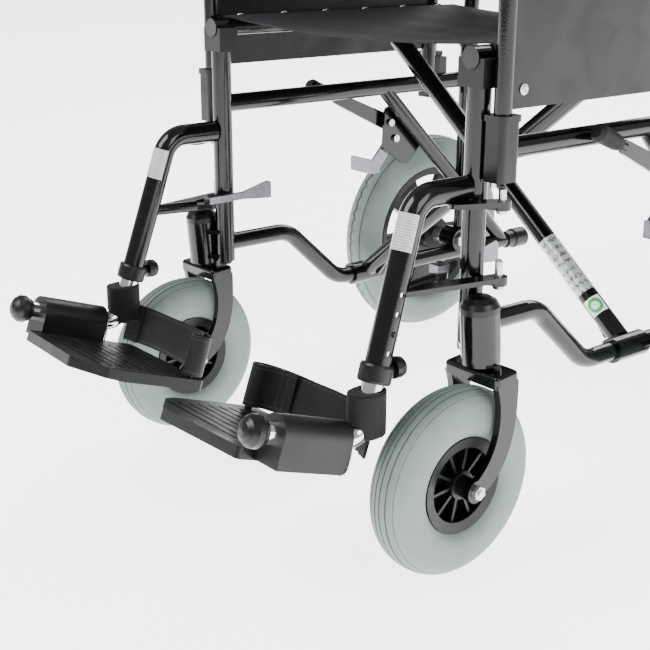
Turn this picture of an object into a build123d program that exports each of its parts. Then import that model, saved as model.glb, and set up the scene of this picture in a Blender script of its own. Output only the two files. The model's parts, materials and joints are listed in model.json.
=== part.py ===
from build123d import *
import os
from math import atan2, cos, hypot, radians, sin, tan

# Folding transit wheelchair, millimetres.  +Z is up, the chair faces -Y and the
# sitter's left-hand side is +X.  The side frames, seat, back and footrests are
# drawn level and then tipped back about the castor axle; the castors are drawn
# straight in the standing frame.  Only the left-hand piece of a pair is drawn.

# ---- side frames ---------------------------------------------------------
frame_half_width = 218       # middle of the chair to a side frame's centre plane
frame_tilt = 5               # the frame leans back by this, degrees
post_radius = 12             # front posts and rear uprights
rail_radius = 11             # rails, canes and the tubes that plug over nothing
brace_radius = 12            # cross braces
strut_radius = 10            # diagonals and saddle stubs
upper_rail_z = 424
lower_rail_z = 168
drop_start_y = 100           # the lower rail steps down between these two
drop_end_y = 186
drop_bend = 45
rear_upright_y = 430
rear_upright_rise = 46       # upright above the upper rail
diagonal_top_y = 265
lever_reach = 132            # tipping lever behind the rear upright
cap_wall = 4

# ---- seat, back and cross braces -----------------------------------------
seat_tube_z = 516
seat_tube_radius = 11
seat_tube_front_y = -14
seat_tube_rear_gap = 25      # seat tube's end to the rear upright
saddle_stub_gap = 80         # rear saddle to the rear upright
saddle_height = 28           # seat tube's axis above the saddle's foot
saddle_gap = 0.4             # seat tube to saddle trough
saddle_half_length = 13
saddle_half_width = 17
brace_a_y = 264
brace_spacing = 26           # brace_b stands this far in front of brace_a
brace_bolt_radius = 4
sleeve_wall = 4
sleeve_length = 54
running_gap = 0.06           # radial clearance of shafts in their bores
pivot_gap = 0.5              # between flat faces that slide past each other
handle_rise = 454            # push handles above the seat tubes
cane_lean = 5                # the canes lean back by this over the side frame
handle_length = 145
handle_bend = 32
grip_radius = 16
grip_length = 112
ridge_count = 6              # raised rings of a push grip
ferrule_height = 26          # collar where a cane plugs onto the rear upright
seat_front_y = 8
seat_rear_gap = 32           # seat sling's rear edge to the rear upright
seat_sling_thickness = 6
back_sling_thickness = 4
back_sling_bottom_rise = 44  # back sling's lower edge above the seat tubes
back_sling_top_gap = 55      # its upper edge below the push handles
soft_gap = 0.5               # soft pieces to what is beside them

# ---- wheels --------------------------------------------------------------
castor_radius = 100
castor_width = 50
castor_outset = 29           # castor housing outside the side frame
castor_axle_y = -48
castor_trail = 47            # the stem stands this far behind the axle
castor_rim_radius = 50
castor_rim_wall = 10
castor_hub_radius = 15
castor_spokes = 10
castor_axle_radius = 4
castor_wheel_gap = 4         # tyre to fork leg
crown_clearance = 16         # castor housing above the top of the tyre
fork_thickness = 8
crown_height = 13
crown_half_depth = 16
stem_radius = 6
housing_radius = 20
housing_height = 54
rear_wheel_radius = 147
rear_wheel_width = 48
rear_wheel_outset = 67
rear_axle_gap = 15           # rear axle in front of the rear upright
rear_rim_radius = 98
rear_hub_radius = 24
rear_hub_half_length = 30
rear_axle_radius = 6
rear_windows = 5
boss_radius = 17             # welded boss that holds the rear axle
boss_half_length = 15
nut_half = 6.5               # half the width across a small nut's flats
axle_nut_half = 9.5

# ---- swing-away hangers and footrests ------------------------------------
footrest_tube_radius = 11
hanger_bore_gap = 0.08
hanger_wall = 1.62
hanger_drop = 33             # hanger's level top below the upper rail
hanger_front_y = -80         # where the level top of the hanger turns down
hanger_foot_z = 224
hanger_bore_top_z = 345
hanger_bend = 30
footrest_outset = 11.5       # the footrest tube's front run outside the side frame
knee_y, knee_z = -155, 166
knob_y, knob_z = -279.5, 209.7
knee_bend = 24
footrest_top_z = 318
hole_pitch = 18              # height holes of the hanger
hole_count = 4
hinge_outset = 29            # vertical swing axis of the hanger
hinge_y = 8
hinge_pin_radius = 4
lower_hinge_drop = 128       # receiver plates below the upper rail
upper_hinge_drop = 52
receiver_thickness = 4
hanger_plate = 5
hanger_strut_radius = 6.5
latch_inset = 15             # latch pin inside the side frame
latch_pivot_y = -30
latch_pin_radius = 2.5
latch_height = 8.5
latch_face_gap = 3.5         # latch jaw to the front post
paddle_length = 48
paddle_root = 8
paddle_end = 24
footplate_inner_x = 48
footplate_outer_inset = 6    # footplate's outer edge inside the side frame
footplate_drop = 20          # footplate top below the footrest tube's axis
footplate_thickness = 12
footplate_depth = 146
footplate_rim = 4
footplate_skin = 4
footplate_corner = 5
footplate_housing_radius = 18.5
housing_start = 22           # footplate hinge housing, from the knob's centre
housing_end = 106
rib_count = 9                # grooves of the footplate's tread
rib_pitch = 13
peg_radius = 4
heel_loop_height = 46
heel_loop_thickness = 3
sleeve_half_x = 16.5         # heel loop's sleeve round the footrest tube
sleeve_half_y = 21
sleeve_bottom_z = 170

# ---- armrests ------------------------------------------------------------
armrest_outset = 27
armrest_front_y = 5
armrest_rear_gap = 50        # armrest's rear leg to the rear upright
armrest_rise = 200           # armrest tube above the seat tubes
armrest_tube_radius = 9
armrest_bend = 50
armrest_insert = 38
socket_size = 26
socket_collar = 3
socket_drop = 24             # armrest socket's foot below the upper rail
socket_rise = 34             # and its collar above it
pad_width = 50
pad_length = 290
pad_height = 26
panel_thickness = 4
panel_gap = 10               # side panel above the socket's collar
panel_top_gap = 16           # and below the armrest tube

# ---- parking brakes: (Y, Z) from the diagonal's upper end ----------------
brake_plate_thickness = 4
brake_lever_offset = (25, -52)
brake_shoe_offset = (35, -75)
brake_block_offset = (2, -112)
brake_knee_offset = (-62, -13)
brake_grip_offset = (-107, 7)
brake_plate_corners = ((23, -38), (47, -46), (81, -80), (57, -106), (21, -84))
brake_corner_radius = 8
brake_pin_radius = 3
shoe_arm_thickness = 4
lever_thickness = 5
shoe_reach = 10              # the shoe ends this far inside the tyre's middle

# ---- worked out from the dimensions above --------------------------------
tilt = radians(frame_tilt)
post_foot_z = 2 * castor_radius + crown_clearance + 8
lower_rail_front_z = post_foot_z + 23
housing_bottom_z = 2 * castor_radius + crown_clearance
housing_top_z = housing_bottom_z + housing_height
rear_upright_top_z = upper_rail_z + rear_upright_rise
tipping_lever_end_y = rear_upright_y + lever_reach
seat_tube_rear_y = rear_upright_y - seat_tube_rear_gap
saddle_stub_y = rear_upright_y - saddle_stub_gap
seat_rear_y = rear_upright_y - seat_rear_gap
brace_b_y = brace_a_y - brace_spacing
crossing_z = (seat_tube_z + lower_rail_z) / 2
handle_z = seat_tube_z + handle_rise
back_sling_bottom_z = seat_tube_z + back_sling_bottom_rise
back_sling_top_z = handle_z - back_sling_top_gap
castor_x = frame_half_width + castor_outset
castor_stem_y = castor_axle_y + castor_trail
diagonal_foot_y = diagonal_top_y + upper_rail_z - lower_rail_z
rear_wheel_x = frame_half_width + rear_wheel_outset
rear_wheel_y = rear_upright_y - rear_axle_gap
rear_axle_z = castor_radius + (
    rear_wheel_radius - castor_radius + (rear_wheel_y - castor_axle_y) * sin(tilt)
) / cos(tilt)
hanger_radius = footrest_tube_radius + hanger_bore_gap + hanger_wall
hanger_top_z = upper_rail_z - hanger_drop
footrest_x = frame_half_width + footrest_outset
knee = (footrest_x, knee_y, knee_z)
knob_centre = (footrest_x, knob_y, knob_z)
hinge_x = frame_half_width + hinge_outset
lower_hinge_z = upper_rail_z - lower_hinge_drop
upper_hinge_z = upper_rail_z - upper_hinge_drop
latch_pivot = (frame_half_width - latch_inset, latch_pivot_y)
latch_face_x = frame_half_width - post_radius - latch_face_gap
footplate_outer_x = frame_half_width - footplate_outer_inset
armrest_x = frame_half_width + armrest_outset
armrest_rear_y = rear_upright_y - armrest_rear_gap
armrest_tube_z = seat_tube_z + armrest_rise
socket_bottom_z = upper_rail_z - socket_drop
socket_top_z = upper_rail_z + socket_rise
panel_bottom_z = socket_top_z + panel_gap
panel_top_z = armrest_tube_z - panel_top_gap


def from_diagonal(offset):
    """A (Y, Z) point given from the upper end of the diagonal."""
    return (diagonal_top_y + offset[0], upper_rail_z + offset[1])


brake_lever_pivot = from_diagonal(brake_lever_offset)
brake_shoe_pivot = from_diagonal(brake_shoe_offset)
brake_shoe_at = from_diagonal(brake_block_offset)
brake_lever_knee = from_diagonal(brake_knee_offset)
brake_grip_end = from_diagonal(brake_grip_offset)

pieces = {}


def side_plane(x):
    """A plane square to X, whose sketches read as (Y, Z)."""
    return Plane(origin=(x, 0, 0), x_dir=(0, 1, 0), z_dir=(1, 0, 0))


def front_plane(y):
    """A plane square to Y, whose sketches read as (X, Z)."""
    return Plane(origin=(0, y, 0), x_dir=(1, 0, 0), z_dir=(0, -1, 0))


def stand(part):
    """Tip a level-drawn piece back about the castor axle."""
    return part.rotate(Axis((0, castor_axle_y, castor_radius), (1, 0, 0)), -frame_tilt)


def standing_point(y, z):
    """Where a point of the level drawing lies once the frame is tipped."""
    rise = z - castor_radius
    reach = y - castor_axle_y
    return (
        castor_axle_y + reach * cos(tilt) + rise * sin(tilt),
        castor_radius - reach * sin(tilt) + rise * cos(tilt),
    )


def keep(part, name):
    """Collect a finished piece under its node's name."""
    pieces[name] = part


def keep_pair(part, name):
    """Collect a left-hand piece and its mirror image."""
    keep(part, "left_" + name)
    keep(mirror(part, about=Plane.YZ), "right_" + name)


def bar(route, radius, bend=0):
    """A round bar along straight runs, joined by arcs where bend is given."""
    with BuildPart() as run:
        with BuildLine() as path:
            if bend:
                FilletPolyline(*route, radius=bend)
            else:
                Polyline(*route)
        with BuildSketch(Plane(origin=path.line @ 0, z_dir=path.line % 0)):
            Circle(radius)
        sweep()
    return run.part


def lathe(origin, direction, outline):
    """A turned piece: outline points are (distance along the axis, radius)."""
    along = Vector(*direction).normalized()
    helper = Vector(1, 0, 0) if abs(along.Z) > 0.9 else Vector(0, 0, 1)
    with BuildPart() as turned:
        with BuildSketch(Plane(origin=origin, x_dir=along, z_dir=along.cross(helper))):
            with BuildLine():
                Polyline(*outline, close=True)
            make_face()
        revolve(axis=Axis(origin, tuple(along)))
    return turned.part


def drum(origin, direction, length, radius, bore=0):
    """A plain cylinder from origin along direction, with an optional bore."""
    return lathe(origin, direction, [(0, bore), (length, bore), (length, radius), (0, radius)])


def link_plate(plane, ends, thickness, holes=()):
    """A flat bar between round ends, each end given as (x, y, radius)."""
    with BuildPart() as plate:
        with BuildSketch(plane):
            for x, y, radius in ends:
                with Locations((x, y)):
                    Circle(radius)
            make_hull()
            for x, y, radius in holes:
                with Locations((x, y)):
                    Circle(radius, mode=Mode.SUBTRACT)
        extrude(amount=thickness)
    return plate.part


def hex_nut(origin, direction, length, half_flats):
    """A hexagonal nut or bolt head standing on a face."""
    with BuildPart() as nut:
        with BuildSketch(Plane(origin=origin, z_dir=direction)):
            RegularPolygon(half_flats, 6, major_radius=False)
        extrude(amount=length)
    return nut.part


# ==========================================================================
# Side frames
# ==========================================================================
socket_half = socket_size / 2


def upright(y, top, radius, foot=upper_rail_z):
    """A vertical tube in the side frame's plane."""
    return bar([(frame_half_width, y, foot), (frame_half_width, y, top)], radius)


def upper_rail():
    """The straight rail from the front post to the rear upright."""
    ends = [(frame_half_width, y, upper_rail_z) for y in (0, rear_upright_y)]
    return bar(ends, rail_radius)


def receiver(z):
    """Plate welded to the post that carries one hinge pin of the hanger."""
    ends = [(frame_half_width + 4, 2, 7), (hinge_x, hinge_y, 9)]
    hole = [(hinge_x, hinge_y, hinge_pin_radius)]
    return link_plate(Plane.XY.offset(z), ends, receiver_thickness, hole)


lower_rail_points = [
    (0, lower_rail_front_z),
    (drop_start_y, lower_rail_front_z),
    (drop_end_y, lower_rail_z),
    (tipping_lever_end_y, lower_rail_z),
]
diagonal_points = [(diagonal_top_y, upper_rail_z), (diagonal_foot_y, lower_rail_z)]
with BuildPart() as level_frame:
    add(upright(0, seat_tube_z - saddle_height, post_radius, post_foot_z))
    add(upper_rail())
    add(bar([(frame_half_width, y, z) for y, z in lower_rail_points], rail_radius, drop_bend))
    add(bar([(frame_half_width, y, z) for y, z in diagonal_points], strut_radius))
    add(upright(rear_upright_y, rear_upright_top_z, post_radius, lower_rail_z))
    add(upright(saddle_stub_y, seat_tube_z - saddle_height, strut_radius))
    add(receiver(lower_hinge_z))
    add(receiver(upper_hinge_z))
    # axle boss between the rear upright and the lower rail
    boss_start = (frame_half_width - boss_half_length, rear_wheel_y, rear_axle_z)
    add(drum(boss_start, (1, 0, 0), 2 * boss_half_length, boss_radius))
    with BuildSketch(side_plane(frame_half_width - boss_half_length - 5)):
        with Locations((rear_wheel_y, rear_axle_z)):
            Circle(rear_axle_radius)
    extrude(amount=2 * boss_half_length + 10, mode=Mode.SUBTRACT)

with BuildPart() as side_frame:
    add(stand(level_frame.part))
    with BuildSketch(Plane.XY.offset(housing_bottom_z)):
        with Locations((castor_x, castor_stem_y)):
            Circle(housing_radius)
    extrude(amount=housing_top_z - housing_bottom_z)
    # gusset plates between the post and the castor housing
    for gusset_z in (housing_bottom_z + 8, housing_top_z - 14):
        with BuildSketch(Plane.XY.offset(gusset_z)):
            with Locations((frame_half_width, standing_point(0, gusset_z)[0])):
                Circle(post_radius - 1)
            with Locations((castor_x, castor_stem_y)):
                Circle(housing_radius - 3)
            make_hull()
        extrude(amount=5)
    with BuildSketch(Plane.XY.offset(housing_bottom_z - 1)):
        with Locations((castor_x, castor_stem_y)):
            Circle(stem_radius + running_gap)
    extrude(amount=housing_top_z - housing_bottom_z + 2, mode=Mode.SUBTRACT)
keep_pair(side_frame.part, "side_frame")

# Black caps: the dome over the castor housing, the rubber tip on the tipping
# lever and the plug in the foot of the post.
with BuildPart() as frame_caps:
    add(
        lathe(
            (castor_x, castor_stem_y, housing_top_z),
            (0, 0, 1),
            [
                (0, 0),
                (0, housing_radius),
                (6, housing_radius),
                (11, housing_radius - 3),
                (15, housing_radius - 9),
                (16, 0),
            ],
        )
    )
    add(
        stand(
            lathe(
                (frame_half_width, tipping_lever_end_y - 36, lower_rail_z),
                (0, 1, 0),
                [
                    (0, rail_radius),
                    (36, rail_radius),
                    (36, 0),
                    (42, 0),
                    (42, rail_radius + 1),
                    (40, rail_radius + cap_wall),
                    (16, rail_radius + cap_wall),
                    (14, rail_radius + cap_wall - 2),
                    (0, rail_radius + cap_wall - 2),
                ],
            )
        )
    )
    add(stand(drum((frame_half_width, 0, post_foot_z - 4), (0, 0, 1), 4, post_radius - 4)))
keep_pair(frame_caps.part, "frame_caps")

# ---- back canes and push grips -------------------------------------------
cane_lean_z = rear_upright_top_z + ferrule_height
cane_top_y = rear_upright_y + (handle_z - cane_lean_z) * tan(radians(cane_lean))
handle_end_y = cane_top_y + handle_length
back_cane = bar(
    [
        (frame_half_width, rear_upright_y, rear_upright_top_z),
        (frame_half_width, rear_upright_y, cane_lean_z),
        (frame_half_width, cane_top_y, handle_z),
        (frame_half_width, handle_end_y, handle_z),
    ],
    rail_radius,
    [2 * handle_bend, handle_bend],
)
with BuildPart() as back_cane_piece:
    add(back_cane)
    # ferrule where the cane plugs onto the rear upright
    with BuildSketch(Plane.XY.offset(rear_upright_top_z)):
        with Locations((frame_half_width, rear_upright_y)):
            Circle(post_radius + 2)
    extrude(amount=ferrule_height)
keep_pair(stand(back_cane_piece.part), "back_cane")

grip_start_y = handle_end_y - grip_length + 5
ridge_pitch = (grip_length - 24) / ridge_count
grip_outline = [(0, rail_radius), (0, grip_radius - 1), (4, grip_radius)]
for ridge in range(ridge_count):
    ridge_at = 10 + ridge * ridge_pitch
    grip_outline += [
        (ridge_at, grip_radius),
        (ridge_at + 2, grip_radius - 2),
        (ridge_at + ridge_pitch - 6, grip_radius - 2),
        (ridge_at + ridge_pitch - 4, grip_radius),
    ]
grip_outline += [
    (grip_length - 4, grip_radius),
    (grip_length, grip_radius - 4),
    (grip_length, 0),
    (grip_length - 5, 0),
    (grip_length - 5, rail_radius),
]
push_grip = lathe((frame_half_width, grip_start_y, handle_z), (0, 1, 0), grip_outline)
keep_pair(stand(push_grip), "push_grip")

# ---- saddles that catch the seat tubes -----------------------------------
with BuildPart() as seat_saddles:
    for saddle_y, foot_radius in ((0, post_radius), (saddle_stub_y, strut_radius)):
        with BuildSketch(front_plane(saddle_y + saddle_half_length)):
            with BuildLine():
                Polyline(
                    (frame_half_width - saddle_half_width, seat_tube_z - saddle_height),
                    (frame_half_width + saddle_half_width, seat_tube_z - saddle_height),
                    (frame_half_width + saddle_half_width, seat_tube_z),
                    (frame_half_width - saddle_half_width, seat_tube_z),
                    close=True,
                )
            make_face()
            with Locations((frame_half_width, seat_tube_z)):
                Circle(seat_tube_radius + saddle_gap, mode=Mode.SUBTRACT)
        extrude(amount=2 * saddle_half_length)
keep_pair(stand(seat_saddles.part), "seat_saddles")

# ---- armrest sockets -----------------------------------------------------
with BuildPart() as armrest_sockets:
    for socket_y in (armrest_front_y, armrest_rear_y):
        with BuildSketch(Plane.XY.offset(socket_bottom_z)):
            with Locations((armrest_x, socket_y)):
                RectangleRounded(socket_size, socket_size, 6)
            with Locations((armrest_x - socket_half, socket_y)):
                Rectangle(2 * (armrest_x - socket_half - frame_half_width), socket_size - 12)
        extrude(amount=socket_top_z - socket_bottom_z)
        with BuildSketch(Plane.XY.offset(socket_top_z)):
            with Locations((armrest_x, socket_y)):
                RectangleRounded(socket_size + socket_collar, socket_size + socket_collar, 7)
        extrude(amount=6)
        with BuildSketch(Plane.XY.offset(socket_bottom_z + 8)):
            with Locations((armrest_x, socket_y)):
                Circle(armrest_tube_radius + running_gap)
        extrude(amount=socket_top_z - socket_bottom_z, mode=Mode.SUBTRACT)
    add(upright(0, seat_tube_z, post_radius, post_foot_z), mode=Mode.SUBTRACT)
    add(upper_rail(), mode=Mode.SUBTRACT)
    # nothing stays on the far side of the rail or the post
    with BuildSketch(side_plane(frame_half_width)):
        with Locations(((armrest_front_y + armrest_rear_y) / 2, socket_top_z)):
            Rectangle(armrest_rear_y + 100, 200)
    extrude(amount=-40, mode=Mode.SUBTRACT)
keep_pair(stand(armrest_sockets.part), "armrest_sockets")

# ==========================================================================
# Wheels
# ==========================================================================


def tyre(centre, radius, bead, width, grooves, groove_depth):
    """A solid round tyre; grooves are (distance from its middle, depth share)."""
    height = radius - bead
    section = [(bead_share, 0), (0.97, 0.24), (0.98, 0.52), (0.78, 0.83), (0.42, 0.965)]
    half = [(width / 2 * out, bead + height * share) for out, share in section]
    outline = [(-out, r) for out, r in half] + [(0, radius)] + half[::-1]
    section_plane = Plane(origin=centre, x_dir=(1, 0, 0), z_dir=(0, -1, 0))
    with BuildPart() as ring:
        with BuildSketch(section_plane):
            with BuildLine():
                tread = Spline(*outline)
                Line(tread @ 1, tread @ 0)
            make_face()
        revolve(axis=Axis(centre, (1, 0, 0)))
        for out, surface in grooves:
            with BuildSketch(section_plane):
                with Locations((out, bead + height * surface)):
                    Rectangle(groove_width, 2 * groove_depth)
            revolve(axis=Axis(centre, (1, 0, 0)), mode=Mode.SUBTRACT)
    return ring.part


groove_width = 1.6
bead_share = 0.6             # half width of a tyre's bead over its full half width

# ---- castor wheels -------------------------------------------------------
# places of the tread rings: share of the width, and of the section's height
castor_groove_places = [(-0.34, 0.905), (-0.2, 0.968), (-0.06, 1), (0.06, 1), (0.2, 0.968), (0.34, 0.905)]
castor_centre = (castor_x, castor_axle_y, castor_radius)
castor_half_hub = castor_width / 2 + castor_wheel_gap - pivot_gap   # nearly touches the legs
castor_grooves = [(castor_width * out, surface) for out, surface in castor_groove_places]
castor_tyre_part = tyre(
    castor_centre, castor_radius, castor_rim_radius, castor_width, castor_grooves, 1.4
)
keep_pair(castor_tyre_part, "castor_tyre")

with BuildPart() as castor_wheel:
    # rim bed under the tyre, flared to both sides
    add(
        lathe(
            castor_centre,
            (1, 0, 0),
            [
                (-17, castor_rim_radius - castor_rim_wall),
                (17, castor_rim_radius - castor_rim_wall),
                (19, castor_rim_radius + 1),
                (castor_width / 2 * bead_share, castor_rim_radius),
                (-castor_width / 2 * bead_share, castor_rim_radius),
                (-19, castor_rim_radius + 1),
            ],
        )
    )
    # dished web and hub
    add(
        lathe(
            castor_centre,
            (1, 0, 0),
            [
                (-2, castor_hub_radius - 2),
                (2, castor_hub_radius - 2),
                (2, castor_rim_radius - 4),
                (-2, castor_rim_radius - 4),
            ],
        )
    )
    add(
        drum(
            (castor_x - castor_half_hub, castor_axle_y, castor_radius),
            (1, 0, 0),
            2 * castor_half_hub,
            castor_hub_radius - 4,
        )
    )
    add(drum((castor_x - 17, castor_axle_y, castor_radius), (1, 0, 0), 34, castor_hub_radius))
    for spoke in range(castor_spokes):
        spoke_turn = radians(360 * spoke / castor_spokes)
        spoke_out = (0, cos(spoke_turn), sin(spoke_turn))
        with BuildSketch(
            Plane(
                origin=(
                    castor_x,
                    castor_axle_y + (castor_hub_radius - 1) * spoke_out[1],
                    castor_radius + (castor_hub_radius - 1) * spoke_out[2],
                ),
                x_dir=(1, 0, 0),
                z_dir=spoke_out,
            )
        ):
            Rectangle(26, 3)
        extrude(amount=castor_rim_radius - castor_rim_wall - castor_hub_radius + 3)
    with BuildSketch(side_plane(castor_x - castor_half_hub - 1)):
        with Locations((castor_axle_y, castor_radius)):
            Circle(castor_axle_radius + running_gap)
    extrude(amount=2 * castor_half_hub + 2, mode=Mode.SUBTRACT)
keep_pair(castor_wheel.part, "castor_wheel")

# ---- castor forks --------------------------------------------------------
leg_inner = castor_width / 2 + castor_wheel_gap
crown_top_z = housing_bottom_z - 3.5
crown_z = crown_top_z - crown_height
fork_foot_radius = 12
foot_turn = radians(34)      # how far the leg's foot leans forward
foot_half = 11
crown_round = 5
with BuildPart() as castor_fork:
    with BuildSketch(Plane.XY.offset(crown_z)):
        with Locations((castor_x, castor_stem_y)):
            RectangleRounded(2 * (leg_inner + fork_thickness), 2 * crown_half_depth, crown_round)
    extrude(amount=crown_height)
    fillet(castor_fork.edges().group_by(Axis.Z)[-1], crown_round - 1)
    for leg_side in (-1, 1):
        with BuildSketch(side_plane(castor_x + leg_side * leg_inner)):
            with BuildLine():
                front = Spline(
                    (castor_stem_y - crown_half_depth + 1, crown_z + 3),
                    (castor_stem_y - 12, crown_z - 35),
                    (castor_stem_y - 22, crown_z - 64),
                    (
                        castor_axle_y - foot_half * cos(foot_turn),
                        castor_radius + foot_half * sin(foot_turn),
                    ),
                )
                rear = Spline(
                    (
                        castor_axle_y + foot_half * cos(foot_turn),
                        castor_radius - foot_half * sin(foot_turn),
                    ),
                    (castor_stem_y - 1, crown_z - 72),
                    (castor_stem_y + 11, crown_z - 36),
                    (castor_stem_y + crown_half_depth - 1, crown_z + 3),
                )
                Line(front @ 1, rear @ 0)
                Line(rear @ 1, front @ 0)
            make_face()
            with Locations((castor_axle_y, castor_radius)):
                Circle(fork_foot_radius)
        extrude(amount=leg_side * fork_thickness)
    # washers between the crown and the housing, and the stem
    add(drum((castor_x, castor_stem_y, crown_top_z), (0, 0, 1), 3, 13))
    stem_length = housing_top_z - 2 - crown_top_z
    add(drum((castor_x, castor_stem_y, crown_top_z), (0, 0, 1), stem_length, stem_radius))
    with BuildSketch(side_plane(castor_x - leg_inner - 2 * fork_thickness)):
        with Locations((castor_axle_y, castor_radius)):
            Circle(castor_axle_radius)
    extrude(amount=2 * leg_inner + 4 * fork_thickness, mode=Mode.SUBTRACT)
keep_pair(castor_fork.part, "castor_fork")

axle_reach = leg_inner + fork_thickness
with BuildPart() as castor_axle:
    add(
        drum(
            (castor_x - axle_reach - 7, castor_axle_y, castor_radius),
            (1, 0, 0),
            2 * axle_reach + 14,
            castor_axle_radius,
        )
    )
    for leg_side in (-1, 1):
        nut_face = (castor_x + leg_side * axle_reach, castor_axle_y, castor_radius)
        add(hex_nut(nut_face, (leg_side, 0, 0), 5, nut_half))
keep_pair(castor_axle.part, "castor_axle")

# ---- rear wheels ---------------------------------------------------------
rear_centre = (rear_wheel_x, rear_wheel_y, rear_axle_z)
rear_grooves = [(rear_wheel_width * out, surface) for out, surface in [(-0.3, 0.93), (0, 1), (0.3, 0.93)]]
rear_tyre_part = tyre(
    rear_centre, rear_wheel_radius, rear_rim_radius, rear_wheel_width, rear_grooves, 1.8
)
keep_pair(stand(rear_tyre_part), "rear_tyre")

window_inner = rear_hub_radius + 12
window_outer = rear_rim_radius - 12
with BuildPart() as rear_wheel:
    add(
        lathe(
            rear_centre,
            (1, 0, 0),
            [
                (-15, rear_rim_radius - 9),
                (15, rear_rim_radius - 9),
                (18, rear_rim_radius + 1),
                (rear_wheel_width / 2 * bead_share, rear_rim_radius),
                (-rear_wheel_width / 2 * bead_share, rear_rim_radius),
                (-18, rear_rim_radius + 1),
            ],
        )
    )
    add(
        lathe(
            rear_centre,
            (1, 0, 0),
            [
                (-9, 0),
                (9, 0),
                (9, rear_hub_radius + 6),
                (5, rear_rim_radius - 8),
                (-5, rear_rim_radius - 8),
                (-9, rear_hub_radius + 6),
            ],
        )
    )
    add(
        drum(
            (rear_wheel_x - rear_hub_half_length, rear_wheel_y, rear_axle_z),
            (1, 0, 0),
            2 * rear_hub_half_length,
            rear_hub_radius,
        )
    )
    with BuildSketch(side_plane(rear_wheel_x - 12)):
        with Locations((rear_wheel_y, rear_axle_z)):
            with PolarLocations(0, rear_windows, start_angle=18):
                with Locations(((window_inner + window_outer) / 2, 0)):
                    Trapezoid(50, window_outer - window_inner, 72, 72, rotation=90)
    extrude(amount=24, mode=Mode.SUBTRACT)
    with BuildSketch(side_plane(rear_wheel_x - rear_hub_half_length - 1)):
        with Locations((rear_wheel_y, rear_axle_z)):
            Circle(rear_axle_radius + running_gap)
    extrude(amount=2 * rear_hub_half_length + 2, mode=Mode.SUBTRACT)
keep_pair(stand(rear_wheel.part), "rear_wheel")

# ==========================================================================
# Cross braces and seat
# ==========================================================================


def brace(y, foot_side):
    """A brace from its sleeve on one lower rail to the seat tube opposite."""
    foot_x = foot_side * frame_half_width
    slope = atan2(seat_tube_z - lower_rail_z, 2 * frame_half_width)
    start_out = rail_radius + sleeve_wall / 2
    with BuildPart() as arm:
        add(
            bar(
                [
                    (
                        foot_x - foot_side * start_out * cos(slope),
                        y,
                        lower_rail_z + start_out * sin(slope),
                    ),
                    (-foot_x, y, seat_tube_z),
                ],
                brace_radius,
            )
        )
        seat_tube = [(-foot_x, end_y, seat_tube_z) for end_y in (seat_tube_front_y, seat_tube_rear_y)]
        add(bar(seat_tube, seat_tube_radius))
        add(
            drum(
                (foot_x, y - sleeve_length / 2, lower_rail_z),
                (0, 1, 0),
                sleeve_length,
                rail_radius + sleeve_wall,
            )
        )
        # triangular gusset between the sleeve and the brace
        with BuildSketch(front_plane(y + 2)):
            with BuildLine():
                Polyline(
                    (foot_x - foot_side * 4, lower_rail_z + rail_radius + 2),
                    (foot_x - foot_side * 30, lower_rail_z + 2),
                    (foot_x - foot_side * 62, lower_rail_z + 40),
                    (foot_x - foot_side * 54, lower_rail_z + 56),
                    close=True,
                )
            make_face()
        extrude(amount=4)
        with BuildSketch(front_plane(y + sleeve_length)):
            with Locations((foot_x, lower_rail_z)):
                Circle(rail_radius + running_gap)
        extrude(amount=2 * sleeve_length, mode=Mode.SUBTRACT)
        with BuildSketch(front_plane(y + brace_radius + 1)):
            with Locations((0, crossing_z)):
                Circle(brace_bolt_radius + running_gap)
        extrude(amount=2 * brace_radius + 2, mode=Mode.SUBTRACT)
    return arm.part


keep(stand(brace(brace_a_y, 1)), "brace_a")
keep(stand(brace(brace_b_y, -1)), "brace_b")

bolt_front = brace_b_y - brace_radius
bolt_rear = brace_a_y + brace_radius
with BuildPart() as brace_bolt:
    add(drum((0, bolt_front - 6, crossing_z), (0, 1, 0), bolt_rear - bolt_front + 13, brace_bolt_radius))
    add(hex_nut((0, bolt_front - 0.2, crossing_z), (0, -1, 0), 6, nut_half))
    add(hex_nut((0, bolt_rear + 0.2, crossing_z), (0, 1, 0), 6, nut_half))
keep(stand(brace_bolt.part), "brace_bolt")

seat_half_width = frame_half_width + seat_tube_radius - 1
sling_bottom = seat_tube_z + seat_tube_radius + soft_gap
with BuildPart() as seat_sling:
    with BuildSketch(Plane.XY.offset(sling_bottom)):
        with Locations((0, (seat_front_y + seat_rear_y) / 2)):
            RectangleRounded(2 * seat_half_width, seat_rear_y - seat_front_y, 12)
    extrude(amount=seat_sling_thickness)
keep(stand(seat_sling.part), "seat_sling")

# The back sling hangs between the canes, in front of their centre line.
back_plane = Plane(
    origin=(0, rear_upright_y, cane_lean_z),
    x_dir=(1, 0, 0),
    z_dir=(0, -cos(radians(cane_lean)), sin(radians(cane_lean))),
)
back_low = (back_sling_bottom_z - cane_lean_z) / cos(radians(cane_lean))
back_high = (back_sling_top_z - cane_lean_z) / cos(radians(cane_lean))
with BuildPart() as back_sling:
    with BuildSketch(back_plane.offset(rail_radius + soft_gap)):
        with Locations((0, (back_low + back_high) / 2)):
            RectangleRounded(2 * (frame_half_width + rail_radius), back_high - back_low, 14)
    extrude(amount=back_sling_thickness)
keep(stand(back_sling.part), "back_sling")

# ==========================================================================
# Hangers
# ==========================================================================
slope_vector = Vector(
    knee[0] - frame_half_width, knee[1] - hanger_front_y, knee[2] - hanger_top_z
).normalized()


def on_hanger(z):
    """The point of the hanger's sloping centre line at a given height."""
    run = (z - hanger_top_z) / slope_vector.Z
    return (
        frame_half_width + slope_vector.X * run,
        hanger_front_y + slope_vector.Y * run,
        z,
    )


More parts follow.
